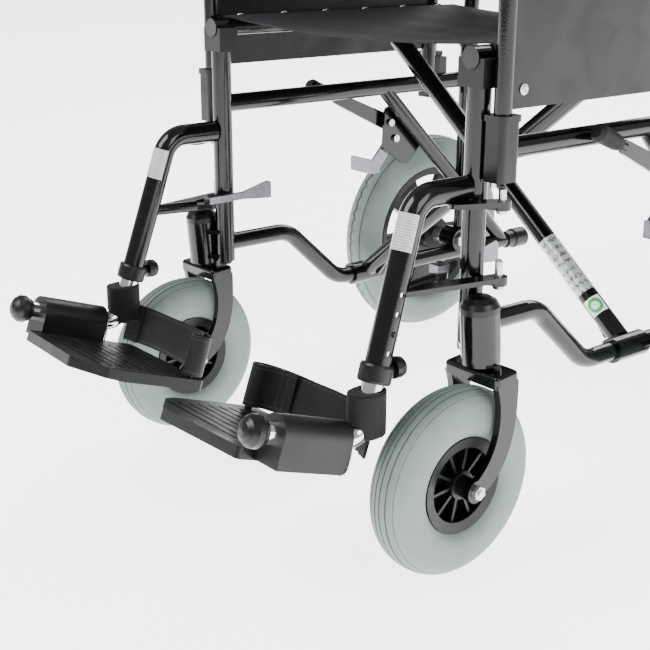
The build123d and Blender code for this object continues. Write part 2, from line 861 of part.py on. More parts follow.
hanger_rear_y = -post_radius - 2
strut_z = lower_hinge_z + receiver_thickness
bracket_z = upper_hinge_z + receiver_thickness
strut_meet = on_hanger(strut_z)
strut_end = (latch_pivot[0] + 8, latch_pivot[1] - 18, strut_z + hanger_plate / 2)
slope_dir = (slope_vector.X, slope_vector.Y, slope_vector.Z)
with BuildPart() as hanger:
    add(
        bar(
            [
                (frame_half_width, hanger_rear_y, hanger_top_z),
                (frame_half_width, hanger_front_y, hanger_top_z),
                on_hanger(hanger_foot_z),
            ],
            hanger_radius,
            hanger_bend,
        )
    )
    add(
        link_plate(
            Plane.XY.offset(strut_z),
            [(strut_meet[0], strut_meet[1] + 4, 9), (hinge_x, hinge_y, 9)],
            hanger_plate,
        )
    )
    # round strut to the latch, flattened round the latch pin
    add(bar([on_hanger(strut_z + hanger_plate / 2), strut_end], hanger_strut_radius))
    add(
        link_plate(
            Plane.XY.offset(strut_z),
            [(strut_end[0], strut_end[1], 6), (latch_pivot[0], latch_pivot[1], 8)],
            hanger_plate,
        )
    )
    add(
        link_plate(
            Plane.XY.offset(bracket_z),
            [(frame_half_width + 10, hanger_rear_y - 20, 9), (hinge_x, hinge_y, 9)],
            hanger_plate,
        )
    )
    # the bore that the footrest tube slides in
    add(
        bar(
            [on_hanger(hanger_foot_z - 10), on_hanger(hanger_bore_top_z)],
            footrest_tube_radius + hanger_bore_gap,
        ),
        mode=Mode.SUBTRACT,
    )
    # height holes through the outboard wall
    for hole in range(hole_count):
        hole_at = on_hanger(hanger_foot_z + 26 + hole * hole_pitch)
        add(
            drum((hole_at[0] + 4, hole_at[1], hole_at[2]), (1, 0, 0), 16, 3),
            mode=Mode.SUBTRACT,
        )
    # holes for the hinge pins and the latch pin
    with BuildSketch(Plane.XY.offset(lower_hinge_z)):
        with Locations((hinge_x, hinge_y)):
            Circle(hinge_pin_radius + running_gap)
    extrude(amount=upper_hinge_z + 20 - lower_hinge_z, mode=Mode.SUBTRACT)
    with BuildSketch(Plane.XY.offset(strut_z - 1)):
        with Locations(latch_pivot):
            Circle(latch_pin_radius)
    extrude(amount=hanger_plate + 2, mode=Mode.SUBTRACT)
keep_pair(stand(hanger.part), "hanger")

# Clamp ring with its thumb knob, the spring button and the latch pin.
clamp_at = on_hanger(236)
clamp_radius = hanger_radius + 4
knob_reach = 20
button_at = on_hanger(hanger_foot_z + 26 + hole_pitch)
with BuildPart() as hanger_fittings:
    add(
        lathe(
            clamp_at,
            slope_dir,
            [
                (-2, hanger_radius + running_gap),
                (16, hanger_radius + running_gap),
                (16, clamp_radius - 1),
                (14, clamp_radius),
                (0, clamp_radius),
                (-2, clamp_radius - 1),
            ],
        )
    )
    knob_root = Vector(*clamp_at) + slope_vector * 7 + Vector(0, clamp_radius - 2, 0)
    add(
        lathe(
            tuple(knob_root),
            (0, 1, 0),
            [
                (0, 0),
                (0, 5),
                (5, 5),
                (6, 10.5),
                (12, 11),
                (knob_reach - 3, 10),
                (knob_reach, 7),
                (knob_reach, 0),
            ],
        )
    )
    add(drum((button_at[0] + footrest_tube_radius + 0.4, button_at[1], button_at[2]), (1, 0, 0), 4, 2.8))
    add(
        lathe(
            (latch_pivot[0], latch_pivot[1], strut_z),
            (0, 0, 1),
            [
                (-3, 0),
                (-2, 5),
                (0, 5),
                (0, latch_pin_radius),
                (hanger_plate + latch_height + 1, latch_pin_radius),
                (hanger_plate + latch_height + 1, 5),
                (hanger_plate + latch_height + 3, 4),
                (hanger_plate + latch_height + 3, 0),
            ],
        )
    )
keep_pair(stand(hanger_fittings.part), "hanger_fittings")

# ---- latch lever ---------------------------------------------------------
latch_z = strut_z + hanger_plate + pivot_gap / 2
paddle_y = hinge_y + 2
with BuildPart() as hanger_latch:
    with BuildSketch(Plane.XY.offset(latch_z)):
        with BuildLine():
            Polyline(
                (latch_pivot[0] + 5, latch_pivot[1] - 7),
                (latch_pivot[0] + 5, latch_pivot[1] + 8),
                (latch_face_x, latch_pivot[1] + 12),
                (latch_face_x, hinge_y + 20),
                (latch_face_x - 6, hinge_y + 22),
                (latch_pivot[0] - 8, latch_pivot[1] + 12),
                (latch_pivot[0] - 8, latch_pivot[1] - 7),
                close=True,
            )
        make_face()
        with Locations(latch_pivot):
            Circle(latch_pin_radius + running_gap, mode=Mode.SUBTRACT)
    extrude(amount=latch_height)
    # upright paddle for the fingers, widening to the rear
    with BuildSketch(side_plane(latch_face_x - 6)):
        with BuildLine():
            Polyline(
                (paddle_y, latch_z + latch_height / 2 - paddle_root / 2),
                (paddle_y + paddle_length, latch_z + latch_height / 2 - paddle_end / 2 + 4),
                (paddle_y + paddle_length, latch_z + latch_height / 2 + paddle_end / 2 + 4),
                (paddle_y, latch_z + latch_height / 2 + paddle_root / 2),
                close=True,
            )
        make_face()
        fillet(vertices().group_by(Axis.Y)[-1], 5)
    extrude(amount=3)
keep_pair(stand(hanger_latch.part), "hanger_latch")

# ---- footrest tube -------------------------------------------------------
plate_axis = Vector(0, knee[1] - knob_centre[1], knee[2] - knob_centre[2]).normalized()
pitch_y, pitch_z = plate_axis.Y, plate_axis.Z
tube_front = (
    knob_centre[0],
    knob_centre[1] + 3 * pitch_y,
    knob_centre[2] + 3 * pitch_z,
)
footrest_tube = bar([on_hanger(footrest_top_z), knee, tube_front], footrest_tube_radius, knee_bend)
keep_pair(stand(footrest_tube), "footrest_tube")

footrest_cap = lathe(
    knob_centre,
    (0, pitch_y, pitch_z),
    [
        (-13, 0),
        (-12, 7),
        (-9, 12),
        (-4, 15.5),
        (2, 16),
        (5, 14),
        (9, 13),
        (9, footrest_tube_radius),
        (3, footrest_tube_radius),
        (3, 0),
    ],
)
keep_pair(stand(footrest_cap), "footrest_cap")

# ---- footplate, drawn in its own pitched plane ---------------------------
plate_plane = Plane(
    origin=knob_centre,
    x_dir=(1, 0, 0),
    z_dir=(0, -pitch_z, pitch_y),
)
inner = footplate_inner_x - knob_centre[0]
outer = footplate_outer_x - knob_centre[0]
plate_outline = [
    (outer, 4),
    (inner + 46, -4),
    (inner + 8, 24),
    (inner, 40),
    (inner, footplate_depth),
    (outer, footplate_depth),
]
peg_at = (inner + 10, footplate_depth - 16)
skirt_drop = footplate_drop + footplate_thickness - 2
with BuildPart() as footplate:
    with BuildSketch(plate_plane.offset(-footplate_drop)):
        with BuildLine():
            Polyline(*plate_outline, close=True)
        make_face()
        fillet(vertices(), footplate_corner)
    extrude(amount=-footplate_thickness)
    # the tray is open underneath
    with BuildSketch(plate_plane.offset(-footplate_drop - footplate_thickness)):
        with BuildLine():
            Polyline(*plate_outline, close=True)
        make_face()
        fillet(vertices(), footplate_corner)
        offset(amount=-footplate_rim, mode=Mode.REPLACE)
    extrude(amount=footplate_thickness - footplate_skin, mode=Mode.SUBTRACT)
    # fine ribs of the tread, left standing between cut grooves
    with BuildSketch(plate_plane.offset(-footplate_drop - 1.2)):
        for rib in range(rib_count):
            with Locations(((inner + outer) / 2 - 4, 20 + rib * rib_pitch)):
                SlotOverall(outer - inner - 40 - 14 * abs(rib - rib_count // 2) / rib_count, 3)
    extrude(amount=4, mode=Mode.SUBTRACT)
    # hinge housing round the footrest tube, with its flat outboard skirt
    housing_plane = Plane(
        origin=(
            knob_centre[0],
            knob_centre[1] + housing_start * pitch_y,
            knob_centre[2] + housing_start * pitch_z,
        ),
        x_dir=(1, 0, 0),
        z_dir=(0, pitch_y, pitch_z),
    )
    with BuildSketch(housing_plane):
        Circle(footplate_housing_radius)
        with Locations((0, skirt_drop / 2)):
            Rectangle(2 * footplate_housing_radius, skirt_drop)
    extrude(amount=housing_end - housing_start)
    with BuildSketch(housing_plane.offset(-1)):
        Circle(footrest_tube_radius + running_gap)
    extrude(amount=housing_end - housing_start + 2, mode=Mode.SUBTRACT)
    # peg that carries the heel loop's free end
    with BuildSketch(plate_plane.offset(-footplate_drop - 2)):
        with Locations(peg_at):
            Circle(peg_radius)
    extrude(amount=heel_loop_height + 4)
keep_pair(stand(footplate.part), "footplate")

# ---- heel loop: a strap sewn into a sleeve round the footrest tube --------
loop_base = -footplate_drop + 2
sleeve_top_z = hanger_foot_z - 9
with BuildPart() as heel_loop:
    with BuildSketch(plate_plane.offset(loop_base)):
        with BuildLine():
            Spline(
                (0, footplate_depth - 2),
                (-40, footplate_depth + 14),
                (inner + 50, footplate_depth + 16),
                (inner + 6, footplate_depth + 4),
            )
        trace(line_width=heel_loop_thickness)
    extrude(amount=heel_loop_height)
    sleeve_middle = on_hanger((sleeve_top_z + sleeve_bottom_z) / 2)
    with BuildSketch(Plane.XY.offset(sleeve_bottom_z)):
        with Locations(sleeve_middle[:2]):
            Ellipse(sleeve_half_x, sleeve_half_y)
    extrude(amount=sleeve_top_z - sleeve_bottom_z)
    # the sleeve lies clear of the tube and of the footplate's hinge housing
    add(
        bar([on_hanger(hanger_foot_z + 20), knee, tube_front], footrest_tube_radius + soft_gap, knee_bend),
        mode=Mode.SUBTRACT,
    )
    with BuildSketch(housing_plane.offset(-1)):
        Circle(footplate_housing_radius + 2)
    extrude(amount=housing_end - housing_start + 3, mode=Mode.SUBTRACT)
keep_pair(stand(heel_loop.part), "heel_loop")

# ==========================================================================
# Armrests
# ==========================================================================
armrest_foot_z = socket_top_z + 6 - armrest_insert
armrest_frame = bar(
    [
        (armrest_x, armrest_front_y, armrest_foot_z),
        (armrest_x, armrest_front_y, armrest_tube_z),
        (armrest_x, armrest_rear_y, armrest_tube_z),
        (armrest_x, armrest_rear_y, armrest_foot_z),
    ],
    armrest_tube_radius,
    armrest_bend,
)
keep_pair(stand(armrest_frame), "armrest_frame")

pad_centre_y = (armrest_front_y + armrest_rear_y) / 2 - 8
pad_bottom_z = armrest_tube_z + armrest_tube_radius
with BuildPart() as armrest_pad:
    with BuildSketch(Plane.XY.offset(pad_bottom_z)):
        with Locations((armrest_x, pad_centre_y)):
            RectangleRounded(pad_width, pad_length, 20)
    extrude(amount=pad_height)
    fillet(armrest_pad.edges().group_by(Axis.Z)[-1], 9)
keep_pair(stand(armrest_pad.part), "armrest_pad")

with BuildPart() as side_panel:
    with BuildSketch(side_plane(armrest_x - panel_thickness / 2)):
        with BuildLine():
            Polyline(
                (armrest_front_y + armrest_tube_radius, panel_bottom_z),
                (armrest_rear_y - armrest_tube_radius, panel_bottom_z),
                (armrest_rear_y - armrest_tube_radius, armrest_tube_z - armrest_bend),
                (armrest_rear_y - armrest_bend, panel_top_z),
                (armrest_front_y + armrest_bend, panel_top_z),
                (armrest_front_y + armrest_tube_radius, armrest_tube_z - armrest_bend),
                close=True,
            )
        make_face()
    extrude(amount=panel_thickness)
keep_pair(stand(side_panel.part), "side_panel")

# ==========================================================================
# Parking brakes
# ==========================================================================
brake_face_x = frame_half_width + strut_radius
plate_out_x = brake_face_x + brake_plate_thickness
shoe_arm_x = plate_out_x + pivot_gap
lever_x = shoe_arm_x + shoe_arm_thickness + pivot_gap
with BuildPart() as brake_plate:
    add(
        link_plate(
            side_plane(brake_face_x),
            [(*from_diagonal(corner), brake_corner_radius) for corner in brake_plate_corners],
            brake_plate_thickness,
            [(*brake_lever_pivot, brake_pin_radius), (*brake_shoe_pivot, brake_pin_radius)],
        )
    )
keep_pair(stand(brake_plate.part), "brake_plate")

with BuildPart() as brake_lever:
    add(
        link_plate(
            side_plane(lever_x),
            [(*brake_lever_pivot, 11), (*brake_lever_knee, 8)],
            lever_thickness,
            [(*brake_lever_pivot, brake_pin_radius + running_gap)],
        )
    )
    add(
        bar(
            [
                (lever_x + lever_thickness / 2, *brake_lever_knee),
                (lever_x + lever_thickness / 2, *brake_grip_end),
            ],
            5,
        )
    )
keep_pair(stand(brake_lever.part), "brake_lever")

grip_dir = (
    0,
    brake_grip_end[0] - brake_lever_knee[0],
    brake_grip_end[1] - brake_lever_knee[1],
)
grip_reach = hypot(grip_dir[1], grip_dir[2])
brake_grip = lathe(
    (lever_x + lever_thickness / 2, *brake_lever_knee),
    grip_dir,
    [
        (10, 5),
        (grip_reach, 5),
        (grip_reach, 0),
        (grip_reach + 6, 0),
        (grip_reach + 5, 7),
        (grip_reach, 10),
        (18, 9),
        (10, 7),
    ],
)
keep_pair(stand(brake_grip), "brake_grip")

shoe_end_x = rear_wheel_x - shoe_reach
jaw_half = 9
jaw_drop = 10                # jaw's face below the end of its arm
jaw_wall = 4
with BuildPart() as brake_shoe:
    add(
        link_plate(
            side_plane(shoe_arm_x),
            [(*brake_shoe_pivot, 9), (*brake_shoe_at, 9)],
            shoe_arm_thickness,
            [(*brake_shoe_pivot, brake_pin_radius + running_gap)],
        )
    )
    # angle iron that presses on the tread: a flat jaw with an upright lip
    jaw_y, jaw_z = brake_shoe_at
    with BuildSketch(side_plane(shoe_arm_x)):
        with BuildLine():
            Polyline(
                (jaw_y - jaw_half, jaw_z - jaw_drop),
                (jaw_y + jaw_half, jaw_z - jaw_drop),
                (jaw_y + jaw_half, jaw_z - jaw_drop + jaw_wall),
                (jaw_y - jaw_half + jaw_wall, jaw_z - jaw_drop + jaw_wall),
                (jaw_y - jaw_half + jaw_wall, jaw_z + jaw_drop),
                (jaw_y - jaw_half, jaw_z + jaw_drop),
                close=True,
            )
        make_face()
    extrude(amount=shoe_end_x - shoe_arm_x)
keep_pair(stand(brake_shoe.part), "brake_shoe")


# ==========================================================================
# Zinc fasteners of the side frame
# ==========================================================================
wheel_inner_x = rear_wheel_x - rear_hub_half_length
wheel_outer_x = rear_wheel_x + rear_hub_half_length
boss_outer_x = frame_half_width + boss_half_length
with BuildPart() as frame_bolts:
    # hinge pins, each with its head under the receiver plate
    for pin_z, pin_top in ((lower_hinge_z, 26), (upper_hinge_z, 22)):
        add(
            lathe(
                (hinge_x, hinge_y, pin_z),
                (0, 0, 1),
                [
                    (-5, 0),
                    (-4, 5),
                    (0, 6.5),
                    (0, hinge_pin_radius),
                    (pin_top - 2, hinge_pin_radius),
                    (pin_top, hinge_pin_radius - 2),
                    (pin_top, 0),
                ],
            )
        )
    # stud under the front armrest socket
    add(drum((armrest_x, armrest_front_y - 9, socket_bottom_z - 5), (0, 0, 1), 5, 3))
    # rear axle: the bolt, a spacer against the boss and a nut at each end
    add(
        drum(
            (frame_half_width - 20, rear_wheel_y, rear_axle_z),
            (1, 0, 0),
            wheel_outer_x + 12 - frame_half_width + 20,
            rear_axle_radius,
        )
    )
    add(
        drum(
            (boss_outer_x, rear_wheel_y, rear_axle_z),
            (1, 0, 0),
            wheel_inner_x - pivot_gap - boss_outer_x,
            11,
            rear_axle_radius - 1,
        )
    )
    add(hex_nut((wheel_outer_x + pivot_gap, rear_wheel_y, rear_axle_z), (1, 0, 0), 9, axle_nut_half))
    boss_inner_x = frame_half_width - boss_half_length
    add(hex_nut((boss_inner_x, rear_wheel_y, rear_axle_z), (-1, 0, 0), 5, axle_nut_half))
    # pivot pins of the parking brake
    add(
        lathe(
            (brake_face_x, *brake_lever_pivot),
            (1, 0, 0),
            [
                (-4, 0),
                (-4, 5),
                (0, 5),
                (0, brake_pin_radius),
                (lever_x + lever_thickness + pivot_gap - brake_face_x, brake_pin_radius),
                (lever_x + lever_thickness + pivot_gap - brake_face_x, 5),
                (lever_x + lever_thickness + 3 - brake_face_x, 4),
                (lever_x + lever_thickness + 3 - brake_face_x, 0),
            ],
        )
    )
    add(
        lathe(
            (brake_face_x, *brake_shoe_pivot),
            (1, 0, 0),
            [
                (-4, 0),
                (-4, 5),
                (0, 5),
                (0, brake_pin_radius),
                (shoe_arm_x + shoe_arm_thickness + 0.2 - brake_face_x, brake_pin_radius),
                (shoe_arm_x + shoe_arm_thickness + 0.2 - brake_face_x, 0),
            ],
        )
    )
keep_pair(stand(frame_bolts.part), "frame_bolts")

# ==========================================================================
# Centre the chair over the origin and write it
# ==========================================================================
boxes = [piece.bounding_box() for piece in pieces.values()]
middle_y = (min(box.min.Y for box in boxes) + max(box.max.Y for box in boxes)) / 2
os.makedirs("parts", exist_ok=True)
for name, piece in pieces.items():
    placed = Pos(0, -middle_y, 0) * piece
    placed.label = name
    export_step(placed, f"parts/{name}.step")
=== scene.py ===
import json
from math import atan2, cos, pi, radians, sin

import bpy
import bmesh
from mathutils import Matrix, Vector


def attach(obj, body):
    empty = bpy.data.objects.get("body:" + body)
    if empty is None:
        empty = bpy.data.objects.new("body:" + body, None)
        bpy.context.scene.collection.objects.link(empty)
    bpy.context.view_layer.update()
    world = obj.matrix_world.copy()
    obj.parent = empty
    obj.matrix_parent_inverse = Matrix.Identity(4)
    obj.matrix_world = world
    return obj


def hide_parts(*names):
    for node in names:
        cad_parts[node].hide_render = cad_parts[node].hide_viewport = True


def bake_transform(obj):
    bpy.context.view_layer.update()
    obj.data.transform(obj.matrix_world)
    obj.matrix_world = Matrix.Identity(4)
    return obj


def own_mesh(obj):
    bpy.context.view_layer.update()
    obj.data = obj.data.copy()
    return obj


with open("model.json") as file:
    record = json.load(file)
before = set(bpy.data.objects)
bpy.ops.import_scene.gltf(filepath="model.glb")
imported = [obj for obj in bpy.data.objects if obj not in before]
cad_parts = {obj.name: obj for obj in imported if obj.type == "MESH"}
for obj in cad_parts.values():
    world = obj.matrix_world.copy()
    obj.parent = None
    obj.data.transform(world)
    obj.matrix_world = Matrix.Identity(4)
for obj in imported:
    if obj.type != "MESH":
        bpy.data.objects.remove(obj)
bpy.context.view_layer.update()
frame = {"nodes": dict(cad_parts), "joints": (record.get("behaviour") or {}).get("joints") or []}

MM = 0.001
SIDES = (("left", 1), ("right", -1))
nodes = frame["nodes"]
joints = {joint["name"]: joint for joint in frame["joints"]}

# The chair leans back: along runs to the rear down the side frames, up stands
# square to them.
across = Vector((1, 0, 0))
along = Vector(joints["cross_fold"]["axis"]).normalized()
up = across.cross(along)
lean = atan2(-along.z, along.y)
to_chair = Matrix((across, along, up)).transposed()
frame_x = joints["cross_fold"]["pos_m"][0]     # middle of the chair to a side frame


def spread(name):
    """Lowest and highest corner of a node in the leaning axes across, along and up."""
    points = [to_chair.transposed() @ vertex.co for vertex in nodes[name].data.vertices]
    low = Vector(min(point[axis] for point in points) for axis in range(3))
    high = Vector(max(point[axis] for point in points) for axis in range(3))
    return low, high


# ---- finishes ------------------------------------------------------------
def linear(colour):
    """An sRGB hex colour as the linear RGBA that a shader takes."""
    parts = [int(colour[place : place + 2], 16) / 255 for place in (0, 2, 4)]
    bright = [part / 12.92 if part <= 0.04045 else ((part + 0.055) / 1.055) ** 2.4 for part in parts]
    return (*bright, 1)


def add_node(finish, kind, inputs, **settings):
    """Adds a shader node and returns its outputs.

    inputs holds values or other nodes' outputs, in the sockets' order or by socket.
    """
    made = finish.node_tree.nodes.new("ShaderNode" + kind)
    for name, value in settings.items():
        setattr(made, name, value)
    pairs = inputs.items() if isinstance(inputs, dict) else enumerate(inputs)
    for socket, value in pairs:
        if isinstance(value, bpy.types.NodeSocket):
            finish.node_tree.links.new(value, made.inputs[socket])
        else:
            made.inputs[socket].default_value = value
    return made.outputs


def start_finish(name, coordinates="Object", size=(1000, 1000, 1000), **numbers):
    """A new material, its shader's numbers set, and the piece's coordinates in millimetres.

    size is what one unit of the coordinates measures, in millimetres: a metre on Object
    coordinates, the cut's own size on a UV map.
    """
    finish = bpy.data.materials.new(name)
    finish.use_nodes = True
    shader = finish.node_tree.nodes["Principled BSDF"]
    for socket, value in numbers.items():
        shader.inputs[socket.replace("_", " ")].default_value = value
    place = finish.node_tree.nodes.new("ShaderNodeTexCoord").outputs[coordinates]
    return finish, add_node(finish, "VectorMath", (place, size), operation="MULTIPLY")[0]


def close_finish(finish, colour, roughness, height=None, depth_mm=0.0, strength=0.0):
    """Joins a finish's colour, roughness and relief to its shader."""
    shader = finish.node_tree.nodes["Principled BSDF"]
    finish.node_tree.links.new(colour, shader.inputs["Base Color"])
    finish.node_tree.links.new(roughness, shader.inputs["Roughness"])
    if height is not None:
        relief = {"Height": height, "Strength": strength, "Distance": depth_mm * MM}
        finish.node_tree.links.new(add_node(finish, "Bump", relief)[0], shader.inputs["Normal"])
    return finish


def powder_coat():
    """Gloss black polyester powder on steel tube: a hard sheen on orange peel, hazed by handling."""
    finish, place = start_finish(
        "gloss_powder_coat", Specular_IOR_Level=0.36, Coat_Weight=0.1, Coat_Roughness=0.06
    )
    haze = add_node(finish, "TexNoise", {"Vector": place, "Scale": 1 / 45, "Detail": 4})[0]
    dust = add_node(finish, "TexNoise", {"Vector": place, "Scale": 1 / 1.4, "Detail": 2})[0]
    dusty = add_node(finish, "MapRange", (dust, 0.62, 0.78, 0, 0.6))[0]
    tones = {0: dusty, 6: linear("040405"), 7: linear("17181A")}
    colour = add_node(finish, "Mix", tones, data_type="RGBA")[2]
    roughness = add_node(finish, "MapRange", (haze, 0.3, 0.75, 0.1, 0.22))[0]
    peel = add_node(finish, "TexNoise", {"Vector": place, "Scale": 1 / 2.2, "Detail": 1})[0]
    return close_finish(finish, colour, roughness, peel, 0.25, 0.25)


def moulded_plastic(name, dark, light, gloss):
    """Glass-filled nylon from the mould: fine spark grain, flow clouding and pale scuffs."""
    finish, place = start_finish(name, IOR=1.53, Specular_IOR_Level=0.3)
    grain = add_node(finish, "TexNoise", {"Vector": place, "Scale": 1 / 0.9, "Detail": 3})[0]
    flow_shape = {"Vector": place, "Scale": 1 / 38, "Detail": 5, "Distortion": 0.6}
    flow = add_node(finish, "TexNoise", flow_shape)[0]
    scuff_shape = {"Vector": place, "Scale": 1 / 7, "Detail": 8, "Roughness": 0.7}
    scuff = add_node(finish, "TexNoise", scuff_shape)[0]
    worn = add_node(finish, "MapRange", (scuff, 0.6, 0.74, 0, 0.55))[0]
    tones = {0: worn, 6: linear(dark), 7: linear(light)}
    colour = add_node(finish, "Mix", tones, data_type="RGBA")[2]
    roughness = add_node(finish, "MapRange", (flow, 0.3, 0.7, gloss - 0.07, gloss + 0.1))[0]
    return close_finish(finish, colour, roughness, grain, 0.12, 0.5)


def zinc_plate():
    """Bright zinc on pressed steel: cool grey with a faint crystal bloom and rolling lines."""
    finish, place = start_finish("bright_zinc_plate", Metallic=1.0)
    bloom = add_node(finish, "TexVoronoi", {"Vector": place, "Scale": 1 / 4.5, "Randomness": 1.0})[0]
    tone = add_node(finish, "TexNoise", {"Vector": place, "Scale": 1 / 16, "Detail": 4})[0]
    tones = {0: tone, 6: linear("A9ABB0"), 7: linear("D9DADC")}
    colour = add_node(finish, "Mix", tones, data_type="RGBA")[2]
    roughness = add_node(finish, "MapRange", (bloom, 0, 1, 0.24, 0.42))[0]
    lines = add_node(finish, "TexNoise", {"Vector": place, "Scale": 1 / 0.7, "Detail": 2})[0]
    return close_finish(finish, colour, roughness, lines, 0.1, 0.35)


def passivated_zinc():
    """Passivated zinc on a punched blade: a violet-grey film that drifts between cool and warm."""
    finish, place = start_finish("passivated_zinc", Metallic=1.0)
    drift_shape = {"Vector": place, "Scale": 1 / 18, "Detail": 3, "Distortion": 1.2}
    drift = add_node(finish, "TexNoise", drift_shape)[0]
    grit = add_node(finish, "TexNoise", {"Vector": place, "Scale": 1 / 0.9, "Detail": 3})[0]
    tones = {0: drift, 6: linear("605E63"), 7: linear("94929A")}
    colour = add_node(finish, "Mix", tones, data_type="RGBA")[2]
    roughness = add_node(finish, "MapRange", (grit, 0.3, 0.7, 0.3, 0.46))[0]
    return close_finish(finish, colour, roughness, grit, 0.1, 0.4)


def chrome():
    """Nickel-chrome on drawn tube: near mirror, with fine wiping marks."""
    finish, place = start_finish("chrome_plate", Metallic=1.0)
    wipe_shape = {"Vector": place, "Scale": 1 / 9, "Detail": 7, "Roughness": 0.65}
    wipe = add_node(finish, "TexNoise", wipe_shape)[0]
    tones = {0: wipe, 6: linear("CFD1D4"), 7: linear("F0F1F2")}
    colour = add_node(finish, "Mix", tones, data_type="RGBA")[2]
    roughness = add_node(finish, "MapRange", (wipe, 0.35, 0.7, 0.07, 0.2))[0]
    return close_finish(finish, colour, roughness, wipe, 0.05, 0.15)


def grey_rubber(name, wheel, tread_half, zigzags):
    """Non-marking grey rubber: satin sidewalls with mould bloom, the tread scuffed and dusty.

    wheel is the joint that the tyre turns on, tread_half the tread's half width in
    millimetres, and zigzags the number of turns of the zigzag groove round the tyre.
    """
    finish, place = start_finish(name, IOR=1.52, Specular_IOR_Level=0.45)
    centre = [value / MM for value in joints[wheel]["pos_m"]]
    tread_radius = centre[2]                 # the wheel stands on the floor
    offset = add_node(finish, "VectorMath", (place, centre), operation="SUBTRACT")[0]
    x, y, z = add_node(finish, "SeparateXYZ", (offset,))

    # side is the distance outwards from the tyre's middle plane, on both sides of the chair
    from_chair = add_node(finish, "Math", (x, centre[0]), operation="ADD")[0]
    from_chair = add_node(finish, "Math", (from_chair,), operation="ABSOLUTE")[0]
    side = add_node(finish, "Math", (from_chair, centre[0]), operation="SUBTRACT")[0]
    from_middle = add_node(finish, "Math", (side,), operation="ABSOLUTE")[0]

    bloom_shape = {"Vector": place, "Scale": 1 / 26, "Detail": 6, "Roughness": 0.6}
    bloom = add_node(finish, "TexNoise", bloom_shape)[0]
    grit = add_node(finish, "TexNoise", {"Vector": place, "Scale": 1 / 1.3, "Detail": 4})[0]
    tones = {0: bloom, 6: linear("606E69"), 7: linear("7F8D88")}
    clean = add_node(finish, "Mix", tones, data_type="RGBA")[2]
    tread = add_node(finish, "MapRange", (from_middle, tread_half, tread_half + 3, 1, 0))[0]
    dirt = add_node(finish, "MapRange", (grit, 0.35, 0.65, 0.15, 0.6))[0]
    dirty = add_node(finish, "Math", (tread, dirt), operation="MULTIPLY")[0]
    tones = {0: dirty, 6: clean, 7: linear("5C6864")}
    colour = add_node(finish, "Mix", tones, data_type="RGBA")[2]
    height = add_node(finish, "Math", (grit, 0.25), operation="MULTIPLY")[0]

    if zigzags:
        y_square = add_node(finish, "Math", (y, y), operation="MULTIPLY")[0]
        z_square = add_node(finish, "Math", (z, z), operation="MULTIPLY")[0]
        square = add_node(finish, "Math", (y_square, z_square), operation="ADD")[0]
        radius = add_node(finish, "Math", (square, 0.5), operation="POWER")[0]
        turn = add_node(finish, "Math", (z, y), operation="ARCTAN2")[0]
        turns = add_node(finish, "Math", (turn, zigzags / (2 * pi)), operation="MULTIPLY")[0]
        swing = add_node(finish, "Math", (turns, 0.5), operation="PINGPONG")[0]
        sway = add_node(finish, "Math", (swing, 16.0, -4.0), operation="MULTIPLY_ADD")[0]
        shifted = add_node(finish, "Math", (side, sway), operation="SUBTRACT")[0]
        apart = add_node(finish, "Math", (shifted,), operation="ABSOLUTE")[0]
        filled = add_node(finish, "MapRange", (apart, 1.0, 2.0, 0, 1))[0]
        cut = add_node(finish, "Math", (1.0, filled), operation="SUBTRACT")[0]
        lip = add_node(finish, "MapRange", (radius, tread_radius - 9, tread_radius - 6, 0, 1))[0]
        groove = add_node(finish, "Math", (cut, lip), operation="MULTIPLY")[0]
        depth = add_node(finish, "Math", (groove, 2.0), operation="MULTIPLY")[0]
        height = add_node(finish, "Math", (height, depth), operation="SUBTRACT")[0]
        # the groove's colour is darkened towards 2C3231 as painted shade in the recess, besides its
        # cut in the relief
        shade = add_node(finish, "Math", (groove, 0.75), operation="MULTIPLY")[0]
        tones = {0: shade, 6: colour, 7: linear("2C3231")}
        colour = add_node(finish, "Mix", tones, data_type="RGBA")[2]
    roughness = add_node(finish, "MapRange", (bloom, 0.3, 0.7, 0.5, 0.68))[0]
    return close_finish(finish, colour, roughness, height, 0.5, 0.6)


def grip_rubber():
    """Thermoplastic rubber: dead matt black with a chalky bloom."""
    finish, place = start_finish("grip_rubber", IOR=1.52, Specular_IOR_Level=0.25)
    bloom = add_node(finish, "TexNoise", {"Vector": place, "Scale": 1 / 14, "Detail": 6})[0]
    pores = add_node(finish, "TexNoise", {"Vector": place, "Scale": 1 / 0.8, "Detail": 2})[0]
    tones = {0: bloom, 6: linear("060607"), 7: linear("131314")}
    colour = add_node(finish, "Mix", tones, data_type="RGBA")[2]
    roughness = add_node(finish, "MapRange", (bloom, 0.3, 0.7, 0.6, 0.8))[0]
    return close_finish(finish, colour, roughness, pores, 0.2, 0.5)


def stitching(finish, cross, run, rows):
    """Rows of lock stitch at the given distances: raised dashes, drawn coarse so that they show."""
    pitch = 4.0
    beat = add_node(finish, "Math", (run, pitch / 2), operation="PINGPONG")[0]
    dash = add_node(finish, "MapRange", (beat, pitch * 0.12, pitch * 0.2, 0, 1))[0]
    sewn = None
    for row in rows:
        away = add_node(finish, "Math", (cross, row), operation="SUBTRACT")[0]
        away = add_node(finish, "Math", (away,), operation="ABSOLUTE")[0]
        near = add_node(finish, "MapRange", (away, 0.5, 1.0, 1, 0))[0]
        if sewn is not None:
            near = add_node(finish, "Math", (sewn, near), operation="MAXIMUM")[0]
        sewn = near
    return add_node(finish, "Math", (sewn, dash), operation="MULTIPLY")[0]


